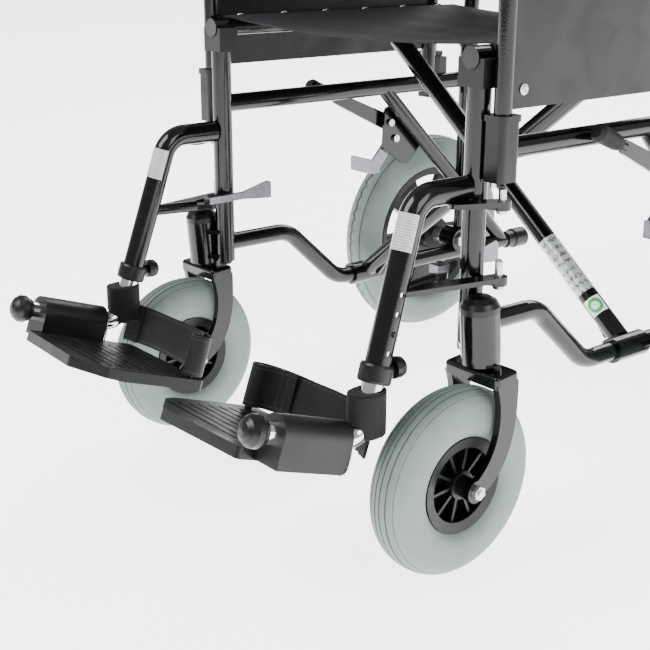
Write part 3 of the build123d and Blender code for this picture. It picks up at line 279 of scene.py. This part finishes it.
def woven_nylon(name, size, thread, dark, light, rows_across, rows_along=()):
    """Nylon in plain weave: a basket of crossing threads with a low sheen, their raised crossings
    painted lighter as a highlight, hems sewn in black.

    size is the flat cut's in metres, thread the threads' spacing in millimetres, about
    twice the real one so that it shows.  rows_across and rows_along are how far its rows
    of stitches lie from the cut's edges, in millimetres.
    """
    finish, place = start_finish(
        name,
        "UV",
        (size[0] / MM, size[1] / MM, 1),
        Sheen_Weight=0.06,
        Sheen_Roughness=0.4,
        Specular_IOR_Level=0.25,
    )
    u, v = add_node(finish, "SeparateXYZ", (place,))[:2]
    weft = add_node(finish, "Math", (u, pi / thread), operation="MULTIPLY")[0]
    weft = add_node(finish, "Math", (weft,), operation="SINE")[0]
    warp = add_node(finish, "Math", (v, pi / thread), operation="MULTIPLY")[0]
    warp = add_node(finish, "Math", (warp,), operation="SINE")[0]
    basket = add_node(finish, "Math", (weft, warp), operation="MULTIPLY")[0]
    fade = add_node(finish, "TexNoise", {"Vector": place, "Scale": 1 / 55, "Detail": 5})[0]
    faded = add_node(finish, "MapRange", (fade, 0.3, 0.7, 0.2, 0.7))[0]
    # the raised thread crossings are painted lighter as a highlight, added to the random fading
    thread_crossing_highlight = add_node(finish, "Math", (basket, 0.22), operation="MULTIPLY")[0]
    share = add_node(finish, "Math", (thread_crossing_highlight, faded), operation="ADD")[0]
    tones = {0: share, 6: linear(dark), 7: linear(light)}
    colour = add_node(finish, "Mix", tones, data_type="RGBA")[2]
    height = add_node(finish, "Math", (basket, 0.35), operation="MULTIPLY")[0]
    sewn = stitching(finish, v, u, rows_across)
    if rows_along:
        sewn_along = stitching(finish, u, v, rows_along)
        sewn = add_node(finish, "Math", (sewn, sewn_along), operation="MAXIMUM")[0]
    tones = {0: sewn, 6: colour, 7: linear("2A2B2F")}
    colour = add_node(finish, "Mix", tones, data_type="RGBA")[2]
    raised = add_node(finish, "Math", (sewn, 1.2), operation="MULTIPLY")[0]
    height = add_node(finish, "Math", (height, raised), operation="ADD")[0]
    roughness = add_node(finish, "MapRange", (fade, 0.3, 0.7, 0.55, 0.72))[0]
    return close_finish(finish, colour, roughness, height, 0.4, 0.7)


def polyester_webbing():
    """Black polyester sleeve cloth: fine crosswise ribs with a painted highlight on their crests,
    slightly furred, creased by use.
    """
    finish, place = start_finish(
        "polyester_webbing", Sheen_Weight=0.08, Sheen_Roughness=0.5, Specular_IOR_Level=0.2
    )
    rib_shape = {"Vector": place, "Scale": 1 / 7.5, "Distortion": 0.4}
    ribs = add_node(finish, "TexWave", rib_shape, bands_direction="Z")[0]
    fur = add_node(finish, "TexNoise", {"Vector": place, "Scale": 1 / 1.2, "Detail": 3})[0]
    crease = add_node(finish, "TexNoise", {"Vector": place, "Scale": 1 / 22, "Detail": 3})[0]
    # the rib crests are painted lighter as a highlight, times the fur's random tone
    fur_tone_and_rib_highlight = add_node(finish, "Math", (fur, ribs), operation="MULTIPLY")[0]
    tones = {0: fur_tone_and_rib_highlight, 6: linear("060607"), 7: linear("19191C")}
    colour = add_node(finish, "Mix", tones, data_type="RGBA")[2]
    roughness = add_node(finish, "MapRange", (fur, 0.3, 0.7, 0.6, 0.8))[0]
    raised = add_node(finish, "Math", (ribs, 0.6), operation="MULTIPLY")[0]
    folded = add_node(finish, "Math", (crease, 2.5), operation="MULTIPLY")[0]
    height = add_node(finish, "Math", (raised, folded), operation="ADD")[0]
    return close_finish(finish, colour, roughness, height, 0.5, 0.6)


def pad_skin():
    """Self-skinned polyurethane foam: soft satin black with a leather grain from the mould."""
    finish, place = start_finish("polyurethane_skin", IOR=1.5, Specular_IOR_Level=0.35)
    pebble_shape = {"Vector": place, "Scale": 1 / 1.7, "Randomness": 0.9}
    pebble = add_node(finish, "TexVoronoi", pebble_shape)[0]
    rubbed = add_node(finish, "TexNoise", {"Vector": place, "Scale": 1 / 30, "Detail": 4})[0]
    tones = {0: rubbed, 6: linear("070708"), 7: linear("141516")}
    colour = add_node(finish, "Mix", tones, data_type="RGBA")[2]
    roughness = add_node(finish, "MapRange", (rubbed, 0.3, 0.7, 0.38, 0.56))[0]
    return close_finish(finish, colour, roughness, pebble, 0.3, 0.6)


def prismatic_film():
    """Prismatic safety film: silver with a honeycomb of bright cells 3 mm across."""
    finish, place = start_finish("prismatic_film", "UV", (60, 40, 1), Metallic=0.35, Coat_Weight=0.4)
    cells = add_node(finish, "TexVoronoi", {"Vector": place, "Scale": 1 / 3, "Randomness": 0.15})[0]
    bright = add_node(finish, "MapRange", (cells, 0.2, 0.5, 1, 0))[0]
    tones = {0: bright, 6: linear("8E9296"), 7: linear("E3E5E6")}
    colour = add_node(finish, "Mix", tones, data_type="RGBA")[2]
    roughness = add_node(finish, "MapRange", (cells, 0, 0.6, 0.2, 0.45))[0]
    return close_finish(finish, colour, roughness)


def silvered_label():
    """Silvered polyester label printed with plain grey bars in place of words."""
    finish, place = start_finish("silvered_label", "UV", (90, 38, 1), Metallic=0.4, Coat_Weight=0.3)
    u, v = add_node(finish, "SeparateXYZ", (place,))[:2]
    beat = add_node(finish, "Math", (v, 2.5), operation="PINGPONG")[0]
    line = add_node(finish, "MapRange", (beat, 0.9, 1.3, 1, 0))[0]
    block = add_node(finish, "VectorMath", (place, (6, 5, 1)), operation="SNAP")[0]
    draw = add_node(finish, "TexWhiteNoise", {"Vector": block}, noise_dimensions="2D")[0]
    filled = add_node(finish, "MapRange", (draw, 0.35, 0.4, 0, 0.8))[0]
    printed = add_node(finish, "Math", (line, filled), operation="MULTIPLY")[0]
    away = add_node(finish, "Math", (u, 45.0), operation="SUBTRACT")[0]
    away = add_node(finish, "Math", (away,), operation="ABSOLUTE")[0]
    inside = add_node(finish, "MapRange", (away, 36, 38, 1, 0))[0]
    ink = add_node(finish, "Math", (printed, inside), operation="MULTIPLY")[0]
    tones = {0: ink, 6: linear("C9CCCE"), 7: linear("4A4D51")}
    colour = add_node(finish, "Mix", tones, data_type="RGBA")[2]
    fade = add_node(finish, "TexNoise", {"Vector": place, "Scale": 1 / 12, "Detail": 3})[0]
    roughness = add_node(finish, "MapRange", (fade, 0.3, 0.7, 0.24, 0.4))[0]
    return close_finish(finish, colour, roughness)


def ring_sticker():
    """A round paper sticker: a green ring on gloss white."""
    finish, place = start_finish("ring_sticker", "UV", (24, 24, 1), Coat_Weight=0.5, IOR=1.5)
    away = add_node(finish, "VectorMath", (place, (12, 12, 0)), operation="SUBTRACT")[0]
    distance = add_node(finish, "VectorMath", (away,), operation="LENGTH")["Value"]
    inner = add_node(finish, "MapRange", (distance, 5.2, 5.8, 0, 1))[0]
    outer = add_node(finish, "MapRange", (distance, 9.8, 10.4, 1, 0))[0]
    ring = add_node(finish, "Math", (inner, outer), operation="MULTIPLY")[0]
    tones = {0: ring, 6: linear("F1F2EE"), 7: linear("2FA65A")}
    colour = add_node(finish, "Mix", tones, data_type="RGBA")[2]
    paper = add_node(finish, "TexNoise", {"Vector": place, "Scale": 1 / 3, "Detail": 2})[0]
    roughness = add_node(finish, "MapRange", (paper, 0.3, 0.7, 0.25, 0.4))[0]
    return close_finish(finish, colour, roughness)


powder = powder_coat()
nylon_moulding = moulded_plastic("moulded_nylon", "08090A", "1B1C1E", 0.36)
wheel_moulding = moulded_plastic("wheel_nylon", "060708", "1A1B1C", 0.42)
plate_moulding = moulded_plastic("footplate_nylon", "0A0B0C", "1F2022", 0.4)
bright_zinc = zinc_plate()
blade_zinc = passivated_zinc()
chrome_plate = chrome()
castor_rubber = grey_rubber("castor_rubber", "left_castor_roll", 14, 0)
rear_rubber = grey_rubber("rear_tyre_rubber", "left_wheel_roll", 16, 54)
soft_black = grip_rubber()

# nodes with no row here are tubes and plates in powder coat
FINISHES = {
    "castor_axle": bright_zinc,
    "castor_wheel": wheel_moulding,
    "castor_tyre": castor_rubber,
    "rear_wheel": wheel_moulding,
    "rear_tyre": rear_rubber,
    "frame_caps": nylon_moulding,
    "armrest_sockets": nylon_moulding,
    "seat_saddles": nylon_moulding,
    "side_panel": plate_moulding,
    "hanger_fittings": nylon_moulding,
    "footrest_cap": nylon_moulding,
    "footplate": plate_moulding,
    "frame_bolts": bright_zinc,
    "brace_bolt": bright_zinc,
    "hanger_latch": blade_zinc,
    "brake_shoe": blade_zinc,
    "footrest_tube": chrome_plate,
    "push_grip": soft_black,
    "brake_grip": soft_black,
}
for name, node in nodes.items():
    part = name.removeprefix("left_").removeprefix("right_")
    node.data.materials.clear()
    node.data.materials.append(FINISHES.get(part, powder))


# ---- making pieces -------------------------------------------------------
CLOTH_THICKNESS = 2.2 * MM


def pick(piece):
    """Only this piece is selected and active."""
    bpy.ops.object.select_all(action="DESELECT")
    bpy.context.view_layer.objects.active = piece
    piece.select_set(True)


def modify(piece, kind, **settings):
    """Adds a modifier with its settings and applies it."""
    modifier = piece.modifiers.new(kind.lower(), kind)
    for name, value in settings.items():
        setattr(modifier, name, value)
    pick(piece)
    bpy.ops.object.modifier_apply(modifier=modifier.name)


def dress(piece, name, finish, angle=40):
    """Names a finished piece, gives it its finish and smooths it up to an edge angle."""
    piece.name = name
    piece.data.name = name
    piece.data.materials.clear()
    piece.data.materials.append(finish)
    pick(piece)
    bpy.ops.object.transform_apply(location=True, rotation=True, scale=True)
    bpy.ops.object.shade_smooth_by_angle(angle=radians(angle))


def laid_out(columns, rows, place):
    """A grid of cloth or film: place takes a share across and a share along to a point."""
    bpy.ops.object.select_all(action="DESELECT")
    bpy.ops.mesh.primitive_grid_add(x_subdivisions=columns, y_subdivisions=rows, size=1)
    piece = bpy.context.active_object
    for vertex in piece.data.vertices:
        vertex.co = place(vertex.co.x + 0.5, vertex.co.y + 0.5)
    return piece


def outward(piece):
    """Merges doubles and turns the faces outwards."""
    pick(piece)
    bpy.ops.object.mode_set(mode="EDIT")
    bpy.ops.mesh.select_all(action="SELECT")
    bpy.ops.mesh.remove_doubles(threshold=0.00002)
    bpy.ops.mesh.normals_make_consistent(inside=False)
    bpy.ops.object.mode_set(mode="OBJECT")


def screw_head():
    """A raised head with a driver recess, on its cup washer, standing on the origin."""
    bpy.ops.object.select_all(action="DESELECT")
    bpy.ops.mesh.primitive_cylinder_add(vertices=24, radius=5.5 * MM, depth=1.2 * MM)
    head = bpy.context.active_object
    rim = 1.6 * MM
    rise = (0, 0, 1.1 * MM)
    recess = (0, 0, -0.8 * MM)
    bpy.ops.object.mode_set(mode="EDIT")
    mesh = bmesh.from_edit_mesh(head.data)
    for face in mesh.faces:
        face.select_set(face.normal.z > 0.9)
    bpy.ops.mesh.inset(thickness=rim)
    bpy.ops.mesh.extrude_region_move(TRANSFORM_OT_translate={"value": rise})
    bpy.ops.transform.resize(value=(0.78, 0.78, 1))
    bpy.ops.mesh.inset(thickness=rim)
    bpy.ops.mesh.extrude_region_move(TRANSFORM_OT_translate={"value": recess})
    bpy.ops.object.mode_set(mode="OBJECT")
    modify(head, "BEVEL", width=0.25 * MM, segments=2, limit_method="ANGLE")
    return head


def screw_row(name, places, facing, body):
    """Zinc-plated screws in cup washers, one head copied to each place and joined as one piece."""
    heads = [screw_head()]
    for place in places[1:]:
        head = heads[0].copy()
        head.data = heads[0].data.copy()
        bpy.context.scene.collection.objects.link(head)
        heads.append(head)
    turn = facing.to_track_quat("Z", "Y").to_matrix().to_4x4()
    for head, place in zip(heads, places):
        head.matrix_world = Matrix.Translation(place) @ turn
    bpy.context.view_layer.update()
    pick(heads[0])
    for head in heads:
        head.select_set(True)
    bpy.ops.object.join()
    dress(heads[0], name, bright_zinc)
    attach(heads[0], body)
    return heads[0]


# ---- seat sling ----------------------------------------------------------
seat_low, seat_high = spread("seat_sling")
seat_tube_radius = 11 * MM
tube_z = spread("brace_a")[1].z - seat_tube_radius
wrap_radius = 12.6 * MM
seat_sag = 15 * MM
seat_wrap = radians(62)
seat_margin = 2 * MM
seat_length = seat_high.y - seat_low.y - 2 * seat_margin
seat_width = 2 * frame_x + 2 * wrap_radius * seat_wrap
seat_flat_share = 2 * frame_x / seat_width


def seat_place(across_share, along_share):
    """The sling spans the seat tubes with a shallow sag and turns down over their outer sides."""
    turn = 2 * across_share - 1
    run = seat_low.y + seat_margin + along_share * seat_length
    if abs(turn) <= seat_flat_share:
        out = turn / seat_flat_share
        ends = 1 - 0.35 * abs(2 * along_share - 1) ** 3
        ripple = 0.7 * MM * sin(9 * pi * along_share) * (1 - out * out) ** 2
        drop = seat_sag * (1 - out * out) * ends
        return to_chair @ Vector((out * frame_x, run, tube_z + wrap_radius - drop + ripple))
    angle = (abs(turn) - seat_flat_share) / (1 - seat_flat_share) * seat_wrap
    side = 1 if turn > 0 else -1
    out = side * (frame_x + wrap_radius * sin(angle))
    return to_chair @ Vector((out, run, tube_z + wrap_radius * cos(angle)))


seat_hems = (9, 22, seat_length / MM - 22, seat_length / MM - 9)
seat_sides = (20, 30, seat_width / MM - 30, seat_width / MM - 20)
seat_size = (seat_width, seat_length)
seat_nylon = woven_nylon("seat_nylon", seat_size, 1.6, "06070A", "16181C", seat_hems, seat_sides)
seat_cloth = laid_out(120, 96, seat_place)
modify(seat_cloth, "SOLIDIFY", thickness=CLOTH_THICKNESS, offset=0)
outward(seat_cloth)
dress(seat_cloth, "seat_cloth", seat_nylon)
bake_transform(seat_cloth)
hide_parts("seat_sling")
screw_turn = radians(32)                      # round the seat tube from its top
screw_radius = wrap_radius + 1.4 * MM         # of the screws' middles round the tube
first_screw = 26 * MM
screw_span = seat_length - 48 * MM            # from the first screw to the sixth
for side, sign in SIDES:
    carrier = "brace_b" if sign > 0 else "brace_a"
    level = tube_z + screw_radius * cos(screw_turn)
    out = sign * (frame_x + screw_radius * sin(screw_turn))
    runs = [seat_low.y + first_screw + step * screw_span / 5 for step in range(6)]
    spots = [to_chair @ Vector((out, run, level)) for run in runs]
    facing = to_chair @ Vector((sign * sin(screw_turn), 0, cos(screw_turn)))
    screw_row(side + "_seat_screws", spots, facing, carrier)

# ---- back sling ----------------------------------------------------------
back_mesh = nodes["back_sling"].data
back_points = [to_chair.transposed() @ vertex.co for vertex in back_mesh.vertices]
back_bottom = min(point.z for point in back_points)
back_top = max(point.z for point in back_points)
foot_run = [point.y for point in back_points if point.z < back_bottom + 2 * MM]
head_run = [point.y for point in back_points if point.z > back_top - 2 * MM]
back_foot = Vector((0, sum(foot_run) / len(foot_run), back_bottom))
back_head = Vector((0, sum(head_run) / len(head_run), back_top))
back_rise = (back_head - back_foot).normalized()
back_out = Vector((0, back_rise.z, -back_rise.y))
cane_radius = 11 * MM
back_wrap_radius = cane_radius + 2.2 * MM
back_wrap = radians(150)
back_length = (back_head - back_foot).length
back_width = 2 * frame_x
pocket_width = back_wrap_radius * back_wrap
back_bulge = 16 * MM


def back_place(across_share, rise_share):
    """The sling bellies to the rear between the canes."""
    out = 2 * across_share - 1
    belly = back_bulge * (1 - out * out) * (0.45 + 0.55 * sin(pi * rise_share))
    ripple = 0.8 * MM * sin(7 * pi * rise_share + 2 * out) * (1 - out * out)
    level = back_foot + back_rise * (rise_share * back_length)
    return to_chair @ (level + Vector((out * frame_x, 0, 0)) + back_out * (belly + ripple))


back_hems = (
    9,
    24,
    back_length / MM / 3,
    2 * back_length / MM / 3,
    back_length / MM - 24,
    back_length / MM - 9,
)
back_sides = (12, 20, back_width / MM - 20, back_width / MM - 12)
back_size = (back_width, back_length)
back_nylon = woven_nylon("back_nylon", back_size, 1.6, "06070A", "16181C", back_hems, back_sides)
back_cloth = laid_out(110, 90, back_place)
modify(back_cloth, "SOLIDIFY", thickness=CLOTH_THICKNESS, offset=0)
outward(back_cloth)
dress(back_cloth, "back_cloth", back_nylon)
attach(back_cloth, "left_frame")
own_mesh(back_cloth)
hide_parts("back_sling")
pocket_size = (pocket_width, back_length)
pocket_nylon = woven_nylon("pocket_nylon", pocket_size, 1.6, "06070A", "16181C", back_hems)
first_rise = 40 * MM
rise_span = back_length - 80 * MM             # from the lowest screw to the fourth
screw_depth = 2 * back_wrap_radius + 1.5 * MM  # behind the cane's front
for side, sign in SIDES:

    def pocket_place(round_share, rise_share):
        """The pocket turns outwards round the cane and in again behind it."""
        angle = round_share * back_wrap
        out = sign * (frame_x + back_wrap_radius * sin(angle))
        level = back_foot + back_rise * (rise_share * back_length) + Vector((out, 0, 0))
        return to_chair @ (level + back_out * (back_wrap_radius * (1 - cos(angle))))

    pocket = laid_out(22, 90, pocket_place)
    modify(pocket, "SOLIDIFY", thickness=CLOTH_THICKNESS, offset=0)
    outward(pocket)
    dress(pocket, side + "_back_pocket", pocket_nylon)
    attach(pocket, side + "_frame")
    spots = []
    for step in range(4):
        level = back_foot + back_rise * (first_rise + step * rise_span / 3)
        spots.append(to_chair @ (level + Vector((sign * frame_x, 0, 0)) + back_out * screw_depth))
    facing = to_chair @ back_out
    screw_row(side + "_back_screws", spots, facing, side + "_frame")

# ---- armrest pads --------------------------------------------------------
skin = pad_skin()
for side, sign in SIDES:
    low, high = spread(side + "_armrest_pad")
    bpy.ops.object.select_all(action="DESELECT")
    bpy.ops.mesh.primitive_cube_add(size=1)
    pad = bpy.context.active_object
    size = high - low
    middle = (low + high) / 2
    for vertex in pad.data.vertices:
        vertex.co = middle + Vector(length * part for length, part in zip(size, vertex.co))
    modify(pad, "BEVEL", width=8 * MM, segments=3)
    modify(pad, "SUBSURF", levels=2, render_levels=2)
    for vertex in pad.data.vertices:
        away = vertex.co - middle
        wide = away.x / size.x * 2
        long = away.y / size.y * 2
        tall = away.z / size.z * 2
        crown = 2.2 * MM * (1 - wide * wide) * (1 - long**4) * max(tall, 0)
        waist = 1 - 0.035 * (1 - tall * tall) * (1 - long**6)
        moved = (middle.x + away.x * waist, vertex.co.y, vertex.co.z + crown)
        vertex.co = to_chair @ Vector(moved)
    dress(pad, side + "_arm_cushion", skin, 60)
    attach(pad, side + "_armrest")
    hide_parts(side + "_armrest_pad")

# ---- heel loops ----------------------------------------------------------
sleeve_webbing = polyester_webbing()
strap_height = 46 * MM
strap_drop = 17 * MM                          # the strap's lower edge below the pivot pin
STRAP_STEPS = 140
FREE_STEPS = 80                               # of them from the footrest to the peg
# The strap's middle line on the footplate, in millimetres: inwards from the
# pivot pin and back along it.  It ends round the peg and comes back on itself.
strap_line = (
    (4, 148),
    (20, 156),
    (50, 162),
    (90, 163),
    (130, 160),
    (160, 153),
    (176, 143),
    (179.5, 131),
    (172, 122.5),
    (163.5, 128),
    (162, 139),
    (150, 149.5),
    (136, 155),
)


def smooth_line(points, steps):
    """Points along a smooth curve through all the given ones, the same number on each stretch."""
    line = []
    last = len(points) - 1
    for step in range(steps + 1):
        where = step / steps * last
        index = min(int(where), last - 1)
        part = where - index
        a, b, c, d = (Vector(points[max(0, min(last, index + move))]) for move in (-1, 0, 1, 2))
        square = (2 * a - 5 * b + 4 * c - d) * part**2
        cube = (3 * b - a - 3 * c + d) * part**3
        line.append(0.5 * (2 * b + (c - a) * part + square + cube))
    return line


strap_points = smooth_line(strap_line, STRAP_STEPS)
strap_run = [0.0]
for first, second in zip(strap_points, strap_points[1:]):
    strap_run.append(strap_run[-1] + (second - first).length)
strap_length = strap_run[-1] * MM
strap_size = (strap_length, strap_height)
strap_hems = (4, 42)
strap_ends = (strap_length / MM - 24, strap_length / MM - 14)
webbing = woven_nylon("heel_webbing", strap_size, 1.3, "060607", "18181B", strap_hems, strap_ends)
for side, sign in SIDES:
    flip = Vector(joints[side + "_footplate_flip"]["axis"]) * sign
    pin = Vector(joints[side + "_footplate_flip"]["pos_m"])
    level = across.cross(flip)

    def strap_place(along_share, rise_share):
        """The band stands on edge, its upper edge leaning out and a little wavy in the free span."""
        index = round(along_share * STRAP_STEPS)
        inwards, back = strap_points[index]
        free = sin(pi * min(1, max(0, (inwards - 10) / 140))) if index < FREE_STEPS else 0
        back += free * (5 * rise_share * rise_share + 1.5 * sin(inwards / 11) * rise_share)
        rise = rise_share * strap_height - strap_drop - free * 1.5 * MM * rise_share
        return pin - across * (sign * inwards * MM) + flip * (back * MM) + level * rise

    strap = laid_out(STRAP_STEPS, 14, strap_place)
    modify(strap, "SOLIDIFY", thickness=CLOTH_THICKNESS, offset=0)
    outward(strap)
    dress(strap, side + "_heel_strap", webbing, 60)
    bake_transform(strap)

    # the padded sleeve round the footrest tube
    loop_mesh = nodes[side + "_heel_loop"].data.copy()
    sleeve = bpy.data.objects.new(side + "_heel_sleeve", loop_mesh)
    bpy.context.scene.collection.objects.link(sleeve)
    outward(sleeve)
    bpy.ops.object.mode_set(mode="EDIT")
    bpy.ops.mesh.select_all(action="SELECT")
    edge = pin - across * (sign * 19 * MM)
    bpy.ops.mesh.bisect(plane_co=edge, plane_no=across * sign, use_fill=True, clear_inner=True)
    bpy.ops.object.mode_set(mode="OBJECT")
    modify(sleeve, "REMESH", mode="VOXEL", voxel_size=1.4 * MM)
    modify(sleeve, "SMOOTH", factor=0.5, iterations=3)
    dress(sleeve, side + "_heel_sleeve", sleeve_webbing, 60)
    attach(sleeve, side + "_footrest")
    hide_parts(side + "_heel_loop")


# ---- labels --------------------------------------------------------------
def tube_film(name, middle, run, facing, radius, length, half_turn, finish, body):
    """Film wrapped on a tube: run is the tube's direction, facing the way its middle looks."""
    facing = (facing - run * facing.dot(run)).normalized()
    side = run.cross(facing)

    def place(across_share, along_share):
        angle = (2 * across_share - 1) * half_turn
        on_axis = middle + run * ((along_share - 0.5) * length)
        return on_axis + radius * (facing * cos(angle) + side * sin(angle))

    film = laid_out(20, 12, place)
    modify(film, "SOLIDIFY", thickness=0.15 * MM, offset=1)
    outward(film)
    dress(film, name, finish)
    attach(film, body)


hanger_film_radius = 12.9 * MM
brace_film_radius = 12.15 * MM
reflector_rise = 142 * MM                     # from the hanger's foot up its slope
silver_film = prismatic_film()
for side, sign in SIDES:
    slope = Vector(joints[side + "_footrest_length"]["axis"])
    points = [vertex.co for vertex in nodes[side + "_hanger"].data.vertices]
    furthest = max(point.dot(slope) for point in points)
    foot_ring = [point for point in points if point.dot(slope) > furthest - 0.5 * MM]
    foot = sum(foot_ring, Vector()) / len(foot_ring)
    tube_film(
        side + "_reflector",
        foot - slope * reflector_rise,
        slope,
        Vector((0.35, -1, 0.1)),
        hanger_film_radius,
        36 * MM,
        radians(62),
        silver_film,
        side + "_hanger",
    )

# both labels of the cross brace look towards the camera
camera_place = Vector((1.0314, -1.0067, 0.7010))
fold = Vector(joints["cross_fold"]["pos_m"])
crossing = Vector(joints["brace_scissor"]["pos_m"])
brace_run = crossing - fold
brace_run = (brace_run - along * brace_run.dot(along)).normalized()
for name, rise, length, half_turn, finish in (
    ("data_label", 121 * MM, 84 * MM, radians(66), silvered_label()),
    ("ring_sticker", 58 * MM, 22 * MM, radians(54), ring_sticker()),
):
    middle = fold + brace_run * rise
    facing = camera_place - middle
    tube_film(
        name, middle, brace_run, facing, brace_film_radius, length, half_turn, finish, "brace_a"
    )

# ---- chrome wire clips of the footplates ---------------------------------
# The wire's route in millimetres: outwards, back along the pivot pin and up.
clip_route = (
    (18, -7, -30),
    (19, 0, -30),
    (19, 0, -8),
    (13, 0, 10),
    (-2, 0, 14),
    (-15, 0, 8),
    (-19, 0, -8),
    (-19, 0, -30),
    (-18, -7, -30),
)
clip_back = 107 * MM                          # from the pivot pin's front
for side, sign in SIDES:
    flip = Vector(joints[side + "_footplate_flip"]["axis"]) * sign
    pin = Vector(joints[side + "_footplate_flip"]["pos_m"])
    level = across.cross(flip)
    start = pin + flip * clip_back
    path = bpy.data.curves.new(side + "_wire_clip", "CURVE")
    path.dimensions = "3D"
    path.bevel_depth = 0.9 * MM
    path.bevel_resolution = 3
    spline = path.splines.new("NURBS")
    spline.points.add(len(clip_route) - 1)
    for knot, (out, back, rise) in zip(spline.points, clip_route):
        bend = start + across * (sign * out * MM) + flip * (back * MM) + level * (rise * MM)
        knot.co = (*bend, 1)
    spline.order_u = 3
    spline.use_endpoint_u = True
    wire = bpy.data.objects.new(side + "_wire_clip", path)
    bpy.context.scene.collection.objects.link(wire)
    pick(wire)
    bpy.ops.object.convert(target="MESH")
    wire = bpy.context.active_object
    dress(wire, side + "_wire_clip", chrome_plate, 60)
    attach(wire, side + "_footplate")

# ---- side panel screws ---------------------------------------------------
for side, sign in SIDES:
    low, high = spread(side + "_side_panel")
    face = (high.x if sign > 0 else low.x) + sign * 0.7 * MM
    spots = [
        to_chair @ Vector((face, run, level))
        for run in (low.y + 16 * MM, high.y - 16 * MM)
        for level in (low.z + 18 * MM, high.z - 70 * MM)
    ]
    screw_row(side + "_panel_screws", spots, Vector((sign, 0, 0)), side + "_armrest")

# ---- stage, light and camera ---------------------------------------------
bpy.ops.object.select_all(action="DESELECT")
bpy.ops.mesh.primitive_plane_add(size=120)
floor = bpy.context.active_object
floor.name = "studio_floor"
floor_paint = bpy.data.materials.new("white_paper_sweep")
floor_paint.use_nodes = True
paper = floor_paint.node_tree.nodes["Principled BSDF"].inputs
paper["Base Color"].default_value = linear("F6F7F7")
paper["Roughness"].default_value = 0.75
paper["Emission Color"].default_value = linear("FFFFFF")
paper["Emission Strength"].default_value = 3.4
floor.data.materials.append(floor_paint)

world = bpy.data.worlds.new("studio_white")
world.use_nodes = True
world.node_tree.nodes["Background"].inputs["Color"].default_value = linear("F4F6F8")
world.node_tree.nodes["Background"].inputs["Strength"].default_value = 0.55
bpy.context.scene.world = world


def soft_light(name, place, target, size, watts):
    """A square softbox at place, turned to target."""
    lamp = bpy.data.lights.new(name, "AREA")
    lamp.size = size
    lamp.energy = watts
    holder = bpy.data.objects.new(name, lamp)
    holder.location = place
    aim = Vector(target) - Vector(place)
    holder.rotation_euler = aim.to_track_quat("-Z", "Y").to_euler()
    bpy.context.scene.collection.objects.link(holder)


soft_light("key_softbox", (-0.6, -1.8, 2.6), (0, 0, 0.3), 1.8, 110)
soft_light("side_softbox", (2.4, 0.2, 1.6), (0, 0, 0.3), 1.4, 40)
soft_light("rear_softbox", (-0.8, 2.2, 2.0), (0, 0, 0.4), 1.6, 50)

camera_data = bpy.data.cameras.new("camera")
camera_data.sensor_width = 36
camera_data.lens = 66.92
view_round = radians(50.865)
view_down = radians(18.27)
view_roll = radians(0.223)
turn = Matrix.Rotation(-lean, 3, "X") @ Matrix.Rotation(view_round, 3, "Z")
turn = turn @ Matrix.Rotation(pi / 2 - view_down, 3, "X") @ Matrix.Rotation(view_roll, 3, "Z")
camera = bpy.data.objects.new("camera", camera_data)
camera.matrix_world = Matrix.Translation(camera_place) @ turn.to_4x4()
bpy.context.scene.collection.objects.link(camera)
bpy.context.scene.camera = camera
